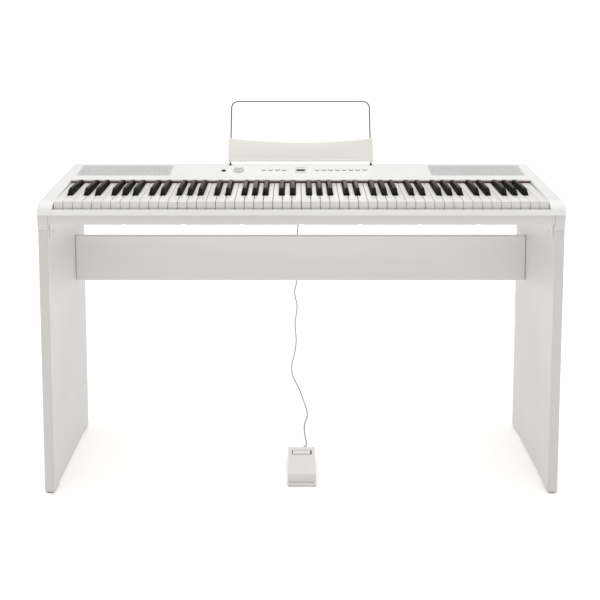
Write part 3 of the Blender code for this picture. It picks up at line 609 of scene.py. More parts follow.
def make_panel(side, label):
    """The side panel: a foil-faced board with a rounded edge band in front and behind."""
    low, high = PANEL_LOW, PANEL_HIGH
    band, edge = 0.0012, 0.0011
    x0, x1 = sorted((side * low.x, side * high.x))
    board = shape(add_box, (x0, low.y + band, low.z), (x1, high.y - band, high.z))
    make_piece(label + "_panel_board", board, BOARD_WHITE, replaces=[label + "_side_panel"],
               bevel=0.0005)
    outline = [(x0, band)] + arc((x0 + edge, edge), edge, 180, 270, 3)
    outline += arc((x1 - edge, edge), edge, 270, 360, 3) + [(x1, band)]
    for end, face, inward in (("front", low.y, 1), ("rear", high.y, -1)):
        strip = shape(add_prism, [(x, face + inward * y) for x, y in outline], "Z", low.z, high.z)
        # The bands take the darker copy of the board's white: painted shade.
        make_piece("%s_panel_%s_band" % (label, end), strip, EDGE_BAND_PAINTED_SHADE)


def make_side(side, label):
    make_panel(side, label)
    inside, outside = PANEL_LOW.x, PANEL_HIGH.x
    low, high = CAP_LOW.z, CAP_HIGH.z
    soft = 0.0022
    outline = [(inside, low), (outside, low)]
    outline += arc((CAP_HIGH.x - soft, high - soft), soft, 0, 90, 3) + [(inside, high)]
    cap = shape(add_prism, mirrored(side, outline), "Y", CAP_LOW.y, CAP_HIGH.y)
    # The cap moulding takes the darker copy of the case white: painted shade.
    make_piece(label + "_cap_moulding", cap, CASE_PAINTED_SHADE, replaces=[label + "_panel_cap"],
               bevel=0.0008)

    low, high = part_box(label + "_case_bracket")
    reach, wall = sorted((abs(low.x), abs(high.x)))
    leg, bend = 0.002, 0.003
    centre = (wall - bend, high.z - bend)
    outline = [(wall, low.z)] + arc(centre, bend, 0, 90, 4)
    outline += [(reach, high.z), (reach, high.z - leg)]
    outline += arc(centre, bend - leg, 90, 0, 4) + [(wall - leg, low.z)]
    angle = shape(add_prism, mirrored(side, outline), "Y", low.y, high.y)
    make_piece(label + "_bracket_angle", angle, BOARD_WHITE, replaces=[label + "_case_bracket"],
               bevel=0.0004)
    screw_inset = 0.012
    for k in range(3):
        y = low.y + (high.y - low.y) * (0.1 + 0.4 * k)
        spot = facing(side * (wall - leg), y, low.z + screw_inset, -side)
        place_screw("%s_bracket_screw_%d" % (label, k + 1), PAINTED_SCREW, spot, 17 + 41 * k)
        spot = facing_down(side * (reach + screw_inset), y, high.z - leg)
        place_screw("%s_case_screw_%d" % (label, k + 1), SCREW, spot, 60 + 23 * k)

    for end in ("front", "rear"):
        node = "%s_%s_glide" % (end, label)
        low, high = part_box(node)
        middle = (low + high) / 2
        half = (high - low) / 2
        pad = shape(add_cushion, half.x, half.y, 0.004, 0.0, 2 * half.z, 0.0008,
                    facing_down(middle.x, middle.y, high.z))
        make_piece(node + "_pad", pad, RUBBER, replaces=[node])

    bolt_inset, height = 0.030, 0.0016
    profile = [(0.0075, 0.0), (0.0075, height * 0.45), (0.0070, height * 0.8), (0.0060, height),
               (0.0, height)]
    y = (BAR_LOW.y + BAR_HIGH.y) / 2
    for k, z in enumerate((BAR_LOW.z + bolt_inset, BAR_HIGH.z - bolt_inset)):
        cover = shape(add_lathe, profile, facing(side * outside, y, z, side), steps=36)
        make_piece("%s_bolt_cover_%d" % (label, k + 1), cover, CASE_WHITE)


def make_crossbar():
    gap = Vector((0.0012, 0.0, 0.0))        # the shadow gap at each end
    make_piece("crossbar_board", shape(add_box, BAR_LOW + gap, BAR_HIGH - gap), BAR_WHITE,
               replaces=["crossbar"], bevel=0.0008)


# ---- case

def case_line(inset):
    """The case's front, top and rear in depth and height, drawn in by a distance."""
    rise = (DECK_HEIGHT - SHOULDER_HEIGHT) / (DECK_DEPTH - SHOULDER_DEPTH)
    taper_height = SHOULDER_HEIGHT + rise * (CASE_TAPER_DEPTH - SHOULDER_DEPTH)
    points = []
    steps = 16
    for k in range(steps + 1):
        turn = pi / 2 * k / steps
        points.append((CASE_FRONT_DEPTH + NOSE_DEPTH - (NOSE_DEPTH - inset) * cos(turn),
                       NOSE_FOOT + (NOSE_HEIGHT - inset) * sin(turn)))
    points.append((SHOULDER_DEPTH, SHOULDER_HEIGHT - inset))
    points.append((CASE_TAPER_DEPTH, taper_height - inset))
    points.append((DECK_DEPTH, DECK_HEIGHT - inset))
    return points + arc(REAR_CENTRE, REAR_ROUND - inset, 90 + degrees(DECK_SLOPE), 0, 14)


def case_end(depth):
    """Half the case's length at a depth."""
    return CASE_HALF - CASE_TAPER * max(0.0, depth - CASE_TAPER_DEPTH)


def case_solid():
    """The solid case; its ends are upright strips, which stay flat where it grows narrower."""
    rings = []
    steps = 6
    stages = [pi / 2 * k / steps for k in range(steps + 1)]
    for side, order in ((-1, stages), (1, stages[::-1])):
        for stage in order:
            line = case_line(CASE_EDGE * (1 - sin(stage)))
            outline = line + [(depth, CASE_BOTTOM) for depth, height in reversed(line)]
            draw_in = CASE_EDGE * (1 - cos(stage))
            rings.append([(side * (case_end(depth) - draw_in), at_depth(depth), height)
                          for depth, height in outline])
    solid = bmesh.new()
    loops = add_rings(solid, rings, cap=False)
    for loop in (loops[0], loops[-1]):
        for k in range(len(loop) // 2 - 1):
            solid.faces.new((loop[k], loop[k + 1], loop[-2 - k], loop[-1 - k]))
    return solid


def slot_cutter():
    """The space inside the case and above the keys."""
    outline = [(-0.03, LIP_TOP), (LIP_BACK_DEPTH, LIP_TOP), (LIP_BACK_DEPTH, CASE_BOTTOM - 0.01),
               (CASE_REAR_DEPTH - CASE_WALL, CASE_BOTTOM - 0.01)]
    outline += arc(REAR_CENTRE, REAR_ROUND - CASE_WALL, 0, 90 + degrees(DECK_SLOPE), 10)
    outline += [(DECK_DEPTH, DECK_EDGE_LOW), (DECK_DEPTH, 0.83), (-0.03, 0.83)]
    hollow = shape(add_prism, [(at_depth(d), z) for d, z in outline], "X", -SLOT_HALF, SLOT_HALF)
    return hollow


def make_top_case():
    thing = rough_object(case_solid())
    carve(thing, slot_cutter())
    knob_spot = deck_frame(KNOB_SPOT.x, KNOB_SPOT.y - PANEL_FRONT)
    display_half_x, display_half_y, display_pocket = 0.0113, 0.0063, 0.0023
    sink, button_sink, knob_sink = 0.0005, 0.0072, 0.0160
    pockets = bmesh.new()
    for side in (-1, 1):
        spot = deck_frame(side * GRILLE_X, GRILLE_DEPTH)
        outline = rounded_outline(GRILLE_HALF, GRILLE_HALF_DEPTH, 0.003)
        add_prism(pockets, outline, "Z", -POCKET, 0.02, spot)
    outline = rounded_outline(display_half_x, display_half_y, 0.0008)
    add_prism(pockets, outline, "Z", -display_pocket, 0.02, deck_frame(0.0, DISPLAY_DEPTH))
    for node in BUTTON_NODES:
        add_cylinder(pockets, button_sink, -sink, 0.02, on_deck(node))
    add_cylinder(pockets, knob_sink, -sink, 0.02, knob_spot, steps=64)
    carve(thing, pockets)

    grille_seat = 0.004
    button_hole, power_hole, knob_hole, jack_hole = 0.0065, 0.0064, 0.0035, 0.0052
    holes = bmesh.new()
    for side in (-1, 1):
        opening = rounded_outline(GRILLE_HALF - grille_seat, GRILLE_HALF_DEPTH - grille_seat, 0.002)
        add_prism(holes, opening, "Z", -0.01, 0.01, deck_frame(side * GRILLE_X, GRILLE_DEPTH))
        add_cylinder(holes, WIRE_RADIUS + 0.0005, -0.02, 0.02, wire_frame(side), steps=24)
    for node in BUTTON_NODES:
        add_cylinder(holes, button_hole, -0.01, 0.01, on_deck(node))
    add_cylinder(holes, power_hole, -0.01, 0.01, on_deck("power_button"))
    add_cylinder(holes, knob_hole, -0.01, 0.01, knob_spot, steps=24)
    add_cylinder(holes, jack_hole, -0.01, 0.01, along_y(JACK_X, at_depth(CASE_REAR_DEPTH), JACK_HEIGHT),
                 steps=32)
    carve(thing, holes)
    make_piece("top_case_shell", thing, CASE_WHITE, replaces=["top_case"],
               sharp=30, bevel=0.0005)


def make_bottom_case():
    low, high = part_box("bottom_case")
    soft = 0.0025
    outline = [(low.y, high.z)] + arc((low.y + soft, low.z + soft), soft, 180, 270, 3)
    outline += arc((high.y - soft, low.z + soft), soft, 270, 360, 3) + [(high.y, high.z)]
    thing = rough_object(shape(add_prism, outline, "X", low.x, high.x))
    inside = shape(add_box, (low.x + CASE_WALL, low.y + CASE_WALL, low.z + 0.004),
                   (high.x - CASE_WALL, high.y - CASE_WALL, high.z + 0.01))
    carve(thing, inside)
    boss_radius, boss_depth = 0.0055, 0.0028
    spots = [(BOSS_PITCH * k, y) for y in (low.y + 0.0035, high.y - 0.012) for k in range(-4, 5)]
    recess = bmesh.new()
    for x, y in spots:
        add_cylinder(recess, boss_radius, -0.01, boss_depth, Matrix.Translation((x, y, low.z)), steps=28)
    carve(thing, recess)
    # The tray takes the darker copy of the case white: painted shade under the case's lip.
    make_piece("bottom_case_tray", thing, CASE_PAINTED_SHADE, replaces=["bottom_case"],
               bevel=0.0004)
    for k, (x, y) in enumerate(spots):
        place_screw("tray_screw_%02d" % (k + 1), SCREW, facing_down(x, y, low.z + boss_depth), 37 * k)


def make_grille(side, label):
    """A perforated plate: a grid of square cells, each with an eight-sided hole."""
    spot = deck_frame(side * GRILLE_X, GRILLE_DEPTH)
    low, high = -0.0015, 0.0
    half_x, half_y = GRILLE_HALF - 0.0003, GRILLE_HALF_DEPTH - 0.0003
    border = 0.0035
    pitch = 0.0024
    columns = int((2 * (half_x - border)) / pitch)
    rows = int((2 * (half_y - border)) / pitch)
    left, near = -columns * pitch / 2, -rows * pitch / 2
    hole = 0.00062
    grille = bmesh.new()
    corners = {}

    def vert(key, x, y, z):
        if key not in corners:
            corners[key] = grille.verts.new(spot @ Vector((x, y, z)))
        return corners[key]

    def skin(first, second):
        for k in range(len(first)):
            after = (k + 1) % len(first)
            grille.faces.new((first[k], first[after], second[after], second[k]))

    around = ((1, 0), (1, 1), (0, 1), (-1, 1), (-1, 0), (-1, -1), (0, -1), (1, -1))
    for column in range(columns):
        for row in range(rows):
            cx, cy = left + (column + 0.5) * pitch, near + (row + 0.5) * pitch
            rings = []
            for level, z in enumerate((low, high)):
                outer, inner = [], []
                for k, (sx, sy) in enumerate(around):
                    outer.append(vert(("grid", 2 * column + 1 + sx, 2 * row + 1 + sy, level),
                                      cx + sx * pitch / 2, cy + sy * pitch / 2, z))
                    turn = pi / 4 * k
                    inner.append(vert(("hole", column, row, k, level), cx + hole * cos(turn),
                                      cy + hole * sin(turn), z))
                skin(outer, inner)
                rings.append(inner)
            skin(*rings)
    rim = [(c, 0) for c in range(0, 2 * columns)] + [(2 * columns, r) for r in range(0, 2 * rows)]
    rim += [(c, 2 * rows) for c in range(2 * columns, 0, -1)] + [(0, r) for r in range(2 * rows, 0, -1)]
    shoulder, tiny = 0.0004, 1e-9
    edge, crown = [], []
    for c, r in rim:
        x, y = left + c * pitch / 2, near + r * pitch / 2
        across, along = abs(x) / (columns * pitch / 2), abs(y) / (rows * pitch / 2)
        ends, sides = across >= along - tiny, along >= across - tiny
        edge.append((copysign(half_x, x) if ends else x, copysign(half_y, y) if sides else y))
        crown.append((edge[-1][0] - (copysign(shoulder, x) if ends else 0),
                      edge[-1][1] - (copysign(shoulder, y) if sides else 0)))
    drawn = [[corners[("grid", c, r, 0)] for c, r in rim]]
    for outline, z in ((edge, low), (edge, high - 0.0002), (crown, high)):
        drawn.append([vert(("rim", k, z), x, y, z) for k, (x, y) in enumerate(outline)])
    drawn.append([corners[("grid", c, r, 1)] for c, r in rim])
    for first, second in zip(drawn, drawn[1:]):
        skin(first, second)
    make_piece(label + "_grille_plate", grille, GRILLE_WHITE, replaces=[label + "_grille"])


def make_speaker(side, label):
    """An oval cone with its surround, basket rim and magnet, below the grille."""
    spot = deck_frame(side * GRILLE_X, GRILLE_DEPTH)
    rings = []
    for half_x, half_y, height in (
            (0.020, 0.018, -0.0165), (0.020, 0.018, -0.0125), (0.042, 0.021, -0.0064),
            (0.055, 0.027, -0.0060), (0.055, 0.027, -0.0040), (0.052, 0.0245, -0.0040),
            (0.050, 0.0225, -0.0046), (0.047, 0.0205, -0.0042), (0.044, 0.0190, -0.0048),
            (0.030, 0.0140, -0.0085), (0.020, 0.0110, -0.0105), (0.014, 0.0100, -0.0080),
            (0.007, 0.0050, -0.0066)):
        rings.append(oval(half_x, half_y, height, spot, 48))
    make_piece(label + "_speaker_cone", shape(add_rings, rings), CONE, replaces=[label + "_speaker"])


def make_felt():
    low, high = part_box("key_felt")
    felt = bmesh.new()
    steps = 480
    rings = []
    for k in range(steps + 1):
        x = low.x + (high.x - low.x) * k / steps
        fuzz = 0.00015 * sin(k * 2.7) * sin(k * 1.13 + 0.4)
        y0, y1, z0, z1 = low.y + 0.0002 + fuzz, high.y, low.z + abs(fuzz), high.z
        rings.append([(x, y1, z0), (x, y1, z1), (x, y0 + 0.0006, z1), (x, y0, z1 - 0.0007),
                      (x, y0, z0 + 0.0007), (x, y0 + 0.0006, z0)])
    add_rings(felt, rings)
    make_piece("key_felt_strip", felt, FELT, replaces=["key_felt"], sharp=50)


def make_display():
    spot = deck_frame(0.0, DISPLAY_DEPTH)
    bezel = shape(add_cushion, 0.0155, 0.0136, 0.0030, 0.0, 0.0009, 0.0005, spot, middle=(0.0, -0.0034))
    thing = rough_object(bezel)
    opening = shape(add_prism, rounded_outline(0.0117, 0.0067, 0.0010), "Z", -0.01, 0.01, spot)
    carve(thing, opening)
    # The bezel takes the darker copy of the case white: painted shade that outlines its raised edge.
    make_piece("display_bezel", thing, CASE_PAINTED_SHADE, bevel=0.0002)

    glass = shape(add_cushion, 0.0110, 0.0060, 0.0008, -0.0020, 0.0, 0.0003, spot)
    make_piece("display_glass", glass, GLASS_BLACK, replaces=["display_window"])

    digits = bmesh.new()
    wide, tall, bar, raised = 0.0020, 0.0030, 0.00045, 0.00006

    def add_segment(x0, x1, y0, y1):
        add_box(digits, (x0, y0, 0.0), (x1, y1, raised), spot)

    for digit in (-1, 0, 1):
        middle = digit * 0.0066
        for level in (-1, 0, 1):
            add_segment(middle - wide + bar, middle + wide - bar, level * tall - bar / 2,
                        level * tall + bar / 2)
        for sx in (-1, 1):
            for sy in (-1, 1):
                add_segment(middle + sx * wide - bar / 2, middle + sx * wide + bar / 2,
                            *sorted((sy * bar, sy * (tall - bar * 0.4))))
    make_piece("display_digits", digits, SEGMENT)

    line = bmesh.new()
    spot = deck_frame(0.0, 0.2373)
    half = 0.0188
    outline = [(half * (k / 12 - 1), -0.0011 * (1 - (k / 12 - 1) ** 2)) for k in range(25)]
    outline += [(x, -y) for x, y in outline[-2:0:-1]]
    add_prism(line, outline, "Z", 0.0, 0.00012, spot)
    make_piece("display_line", line, PRINT_GREY)


def make_inner_pieces():
    for node, look in (("key_frame", STEEL), ("main_board", BOARD_GREEN)):
        thing = frame["nodes"][node]
        thing.data.materials.clear()
        thing.data.materials.append(look)


# ---- keys

def white_left(index):
    return (index - WHITE_COUNT / 2) * WHITE_PITCH


def natural_of(index):
    return NATURALS[(index + NATURALS.index("A")) % WHITES_PER_OCTAVE]


def sharp_centre(index):
    """The x of the black key just above a white key, or None where there is none."""
    letter = natural_of(index)
    if letter not in SHARP_PLACES or index == WHITE_COUNT - 1:
        return None
    return white_left(index - NATURALS.index(letter)) + SHARP_PLACES[letter]


def key_place(index):
    """The note's octave number and the body that a white key rides on, with its black key's body."""
    letter = natural_of(index)
    last = FIRST_SINGLE_WHITE + WHITES_PER_OCTAVE
    octave = (index + NATURALS.index("A")) // WHITES_PER_OCTAVE
    if index < FIRST_SINGLE_WHITE:
        return octave, "low_white_keys", "low_black_keys"
    if index >= last:
        return octave, "high_white_keys", "high_black_keys"
    return octave, "key_%s%d" % (letter, SINGLE_OCTAVE), "key_%s_sharp%d" % (letter, SINGLE_OCTAVE)


def key_top(depth):
    return KEY_FRONT_TOP + KEY_TOP_SLOPE * (depth - KEY_FRONT_DEPTH)


def white_outline(index):
    """A white key's plan in x and depth, anticlockwise from its front left corner."""
    gap = KEY_GAP + 0.0004
    left, right = white_left(index) + gap / 2, white_left(index + 1) - gap / 2
    before = sharp_centre(index - 1) if index > 0 else None
    after = sharp_centre(index)
    front, rear = KEY_FRONT_DEPTH, DECK_DEPTH + 0.012
    corner = 0.0011
    points = arc((left + corner, front + corner), corner, 180, 270, 3)
    points += arc((right - corner, front + corner), corner, 270, 360, 3)
    notch = 0.0012
    if after is not None:
        tail = after - BLACK_SLOT_HALF
        points += arc((right - corner, HEAD_DEPTH - corner), corner, 0, 90, 3)
        points += arc((tail + notch, HEAD_DEPTH + notch), notch, 270, 180, 3)
        points.append((tail, rear))
    else:
        points.append((right, rear))
    if before is not None:
        tail = before + BLACK_SLOT_HALF
        points.append((tail, rear))
        points += arc((tail - notch, HEAD_DEPTH + notch), notch, 0, -90, 3)
        points += arc((left + corner, HEAD_DEPTH - corner), corner, 90, 180, 3)
    else:
        points.append((left, rear))
    return points


def inset_outline(points, distance):
    """Draw a closed outline in by a distance."""
    count = len(points)
    drawn = []
    for k in range(count):
        a, b, c = Vector(points[k - 1]), Vector(points[k]), Vector(points[(k + 1) % count])
        first, second = (b - a).normalized(), (c - b).normalized()
        n1, n2 = Vector((-first.y, first.x)), Vector((-second.y, second.x))
        bisector = (n1 + n2).normalized()
        drawn.append(b + bisector * distance / max(0.5, bisector.dot(n1)))
    return drawn


def use_second_look(thing, look, chosen):
    """Give the faces whose normal is chosen a second, darker material, which paints shade on the faces
    turned that way.
    """
    thing.data.materials.append(look)
    for face in thing.data.polygons:
        if chosen(face.normal):
            face.material_index = 1


def make_white_key(index):
    """One white key: a lipped top with rounded edges, a set-back front face and its lever."""
    octave, body, _ = key_place(index)
    outline = white_outline(index)
    lip = 0.0022
    set_back = 0.0006
    edge = 0.0007
    rings = []

    def ring(points, lift, back=0.0):
        row = []
        for x, depth in points:
            shift = back if depth < KEY_FRONT_DEPTH + 0.003 else 0.0
            row.append((x, at_depth(depth + shift), lift(depth)))
        rings.append(row)

    ring(outline, lambda depth: KEY_FRONT_LOW, set_back)
    ring(outline, lambda depth: key_top(depth) - lip - 0.0002, set_back)
    ring(outline, lambda depth: key_top(depth) - lip)
    steps = 4
    for k in range(steps + 1):
        turn = pi / 2 * k / steps
        ring(inset_outline(outline, edge * (1 - cos(turn))),
             lambda depth: key_top(depth) - edge * (1 - sin(turn)))
    key = shape(add_rings, rings)
    left, right = white_left(index) + 0.0030, white_left(index + 1) - 0.0030
    add_box(key, (left, at_depth(DECK_DEPTH + 0.0121), 0.7330), (right, at_depth(KEY_END_DEPTH), 0.7370))
    name = "white_key_%s%d" % (natural_of(index), octave)
    thing = make_piece(name, key, IVORY, body, sharp=40)
    # The front face takes painted shade, a darker copy of the ivory.
    use_second_look(thing, KEY_FRONT_PAINTED_SHADE, lambda normal: normal.y < -0.9)
    return name


def make_black_key(index):
    """One black key: a tapered body with round shoulders, a sloped nose and its lever."""
    octave, _, body = key_place(index)
    centre = sharp_centre(index)
    key = bmesh.new()
    rings = []
    low = 0.7450
    for along, top, half in (
            (0.0, 0.7575, 0.00590), (0.0006, 0.7592, 0.00575), (0.0042, 0.7640, 0.00530),
            (0.0080, 0.7684, 0.00495), (0.0102, 0.7700, 0.00480), (0.0127, 0.7708, 0.00475),
            (0.0162, BLACK_TOP, 0.00475), (0.0970, BLACK_TOP, 0.00475), (0.1005, 0.7706, 0.00475),
            (0.1025, 0.7690, 0.00480), (0.1027, 0.7600, 0.00530)):
        shoulder = 0.0012
        y = at_depth(BLACK_FRONT_DEPTH + along)
        section = [(centre - BLACK_HALF, low), (centre + BLACK_HALF, low)]
        section += arc((centre + half - shoulder, top - shoulder), shoulder, 0, 90, 3)
        section += arc((centre - half + shoulder, top - shoulder), shoulder, 90, 180, 3)
        rings.append([(x, y, z) for x, z in section])
    add_rings(key, rings)
    lever_half, lever_depth, lever_top = 0.004, 0.1558, 0.7490
    add_box(key, (centre - lever_half, at_depth(lever_depth), low),
            (centre + lever_half, at_depth(KEY_END_DEPTH), lever_top))
    name = "black_key_%s_sharp%d" % (natural_of(index), octave)
    thing = make_piece(name, key, EBONY, body, sharp=34)
    # The nose and sides take painted shade, a blacker copy of the ebony.
    use_second_look(thing, BLACK_KEY_PAINTED_SHADE, lambda normal: normal.y < -0.3 or abs(normal.x) > 0.75)
    return name


def make_keys():
    shown = {}
    for index in range(WHITE_COUNT):
        _, white_body, black_body = key_place(index)
        name = make_white_key(index)
        shown.setdefault(white_body, name)
        if sharp_centre(index) is not None:
            name = make_black_key(index)
            shown.setdefault(black_body, name)
    for node, name in shown.items():
        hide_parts(node)


# ---- controls

def make_button(node, radius, look):
    spot = on_deck(node)
    rise = 0.0014
    soft = 0.0006
    profile = [(0.0, -0.0055), (radius, -0.0055), (radius, rise - soft)]
    profile += arc((radius - soft, rise - soft), soft, 20, 90, 4)
    for share, dip in ((0.80, 0.00002), (0.62, 0.00022), (0.35, 0.00036), (0.0, 0.00040)):
        profile.append((radius * share, rise - dip))
    button = shape(add_lathe, profile, spot, steps=48)
    thing = make_piece(node + "_cap", button, look, body=node, replaces=[node], sharp=45)
    # The white buttons' side walls take painted shade in dark grey.
    if look == CASE_WHITE:
        use_second_look(thing, BUTTON_WALL_PAINTED_SHADE, lambda normal: normal.dot(PUSH_AXIS) > -0.5)


def make_knob():
    spot = deck_frame(KNOB_SPOT.x, KNOB_SPOT.y - PANEL_FRONT)
    radius = 0.014
    ribs = 36

    def wave(angle, height):
        return 1.0 - (0.014 * (0.5 + 0.5 * cos(ribs * angle)) if 0.0045 < height < 0.0105 else 0.0)

    body = radius - 0.0026
    profile = [(0.0, -0.0075), (0.003, -0.0075), (0.003, 0.0004), (radius, 0.0004), (radius, 0.0024),
               (radius - 0.0006, 0.0032), (body + 0.0006, 0.0038), (body, 0.0046),
               (body - 0.0004, 0.0100), (body - 0.0006, 0.0112)]
    profile += arc((body - 0.0016, 0.0115), 0.0010, 15, 90, 4)
    profile += [(body - 0.0032, 0.0124), (body - 0.0040, 0.0118), (0.0060, 0.0114), (0.0, 0.0113)]
    thing = rough_object(shape(add_lathe, profile, spot, steps=ribs * 6, wave=wave))
    mark = shape(add_box, (-0.00045, 0.0055, 0.0105), (0.00045, 0.0105, 0.02), spot)
    carve(thing, mark)
    make_piece("volume_knob_cap", thing, SILVER, body="volume_knob",
               replaces=["volume_knob"], sharp=40)


# ---- music rest

def make_music_rest():
    spot = rest_frame()
    low = PLATE_LOW
    half = REST_HALF - 0.0005
    thickness = PLATE_HALF_THICKNESS
    edge = 0.0011
    steps = 48
    upper = []
    for k in range(steps + 1):
        x = half * (1 - 2 * k / steps)
        upper.append((x, PLATE_MIDDLE_TOP + PLATE_RISE * (x / half) ** 2))
    corner = 0.0025
    outline = [(-half, low), (half, low)]
    top = upper[0][1]
    outline += arc((half - corner, top - corner), corner, 0, 80, 5)
    outline += [point for point in upper if abs(point[0]) < half - corner]
    outline += arc((-half + corner, top - corner), corner, 100, 180, 5)
    rings = []
    rounds = 4
    for face in (-1, 1):
        stages = [pi / 2 * k / rounds for k in range(rounds + 1)]
        for turn in (stages[::-1] if face < 0 else stages):
            y = face * (thickness - edge * (1 - sin(turn)))
            drawn = inset_outline(outline, edge * (1 - cos(turn)))
            rings.append([spot @ Vector((x, y, z)) for x, z in drawn])
    thing = rough_object(shape(add_rings, rings))
    ledge = bmesh.new()
    section = [(0.0, low), (0.0, low + 0.0030), (-0.0010, low + 0.0025), (-0.0116, low + 0.0025)]
    section += [(-0.0120, low + 0.0029), (-0.0120, low + 0.0049)]
    section += arc((-0.01275, low + 0.00475), 0.00075, 0, 180, 5)
    section += [(-LEDGE_REACH, low + 0.0008)]
    section += arc((-0.0127, low + 0.0008), 0.0008, 180, 270, 4)[1:]
    add_prism(ledge, section, "X", -REST_HALF, REST_HALF, spot)
    carve(thing, ledge, "UNION")
    panel = make_piece("music_rest_panel", thing, CREAM, body="music_rest",
                       replaces=["music_rest_plate"], sharp=35, bevel=0.0003)
    # The panel casts no shadow and gives no diffuse bounce, so the case under it is lit as if the panel
    # were not there.
    panel.visible_shadow = False
    panel.visible_diffuse = False

    path = [(-WIRE_HALF, -0.010), (-WIRE_HALF, 0.05), (-WIRE_HALF, 0.11)]
    path += arc((-WIRE_HALF + WIRE_CORNER, WIRE_TOP - WIRE_CORNER), WIRE_CORNER, 180, 90, 14)
    path += [(WIRE_HALF * k / 3, WIRE_TOP) for k in (-1, 0, 1)]
    path += arc((WIRE_HALF - WIRE_CORNER, WIRE_TOP - WIRE_CORNER), WIRE_CORNER, 90, 0, 14)
    path += [(WIRE_HALF, 0.11), (WIRE_HALF, 0.05), (WIRE_HALF, -0.010)]
    points = [spot @ Vector((x, WIRE_BACK, z)) for x, z in path]
    wire = shape(add_tube, points, WIRE_RADIUS - 0.0001, steps=20)
    make_piece("music_rest_arch", wire, WIRE_GREY, body="music_rest", replaces=["music_rest_wire"],
               sharp=50)

    for side, label in ((-1, "left"), (1, "right")):
        profile = [(WIRE_RADIUS, -0.0030), (0.0031, -0.0030), (0.0034, -0.0020), (0.0034, 0.0050),
                   (0.0031, 0.0062), (WIRE_RADIUS, 0.0062)]
        rings = [oval(radius, radius, height, wire_frame(side), 32) for radius, height in profile]
        foot = shape(add_rings, rings, closed=True)
        make_piece("%s_rest_sleeve" % label, foot, SLEEVE_BROWN, body="music_rest")
        for k, height in enumerate((0.020, 0.054)):
            reach = WIRE_RADIUS + 0.0015
            section = [(-reach, thickness - 0.0002), (reach, thickness - 0.0002)]
            section += arc((0.0, WIRE_BACK), reach, 0, 180, 10)
            clip = shape(add_prism, section, "Z", -0.005, 0.005, wire_frame(side, height, 0.0))
            make_piece("%s_rest_clip_%d" % (label, k + 1), clip, CREAM, body="music_rest",
                       bevel=0.0003)


# ---- pedal

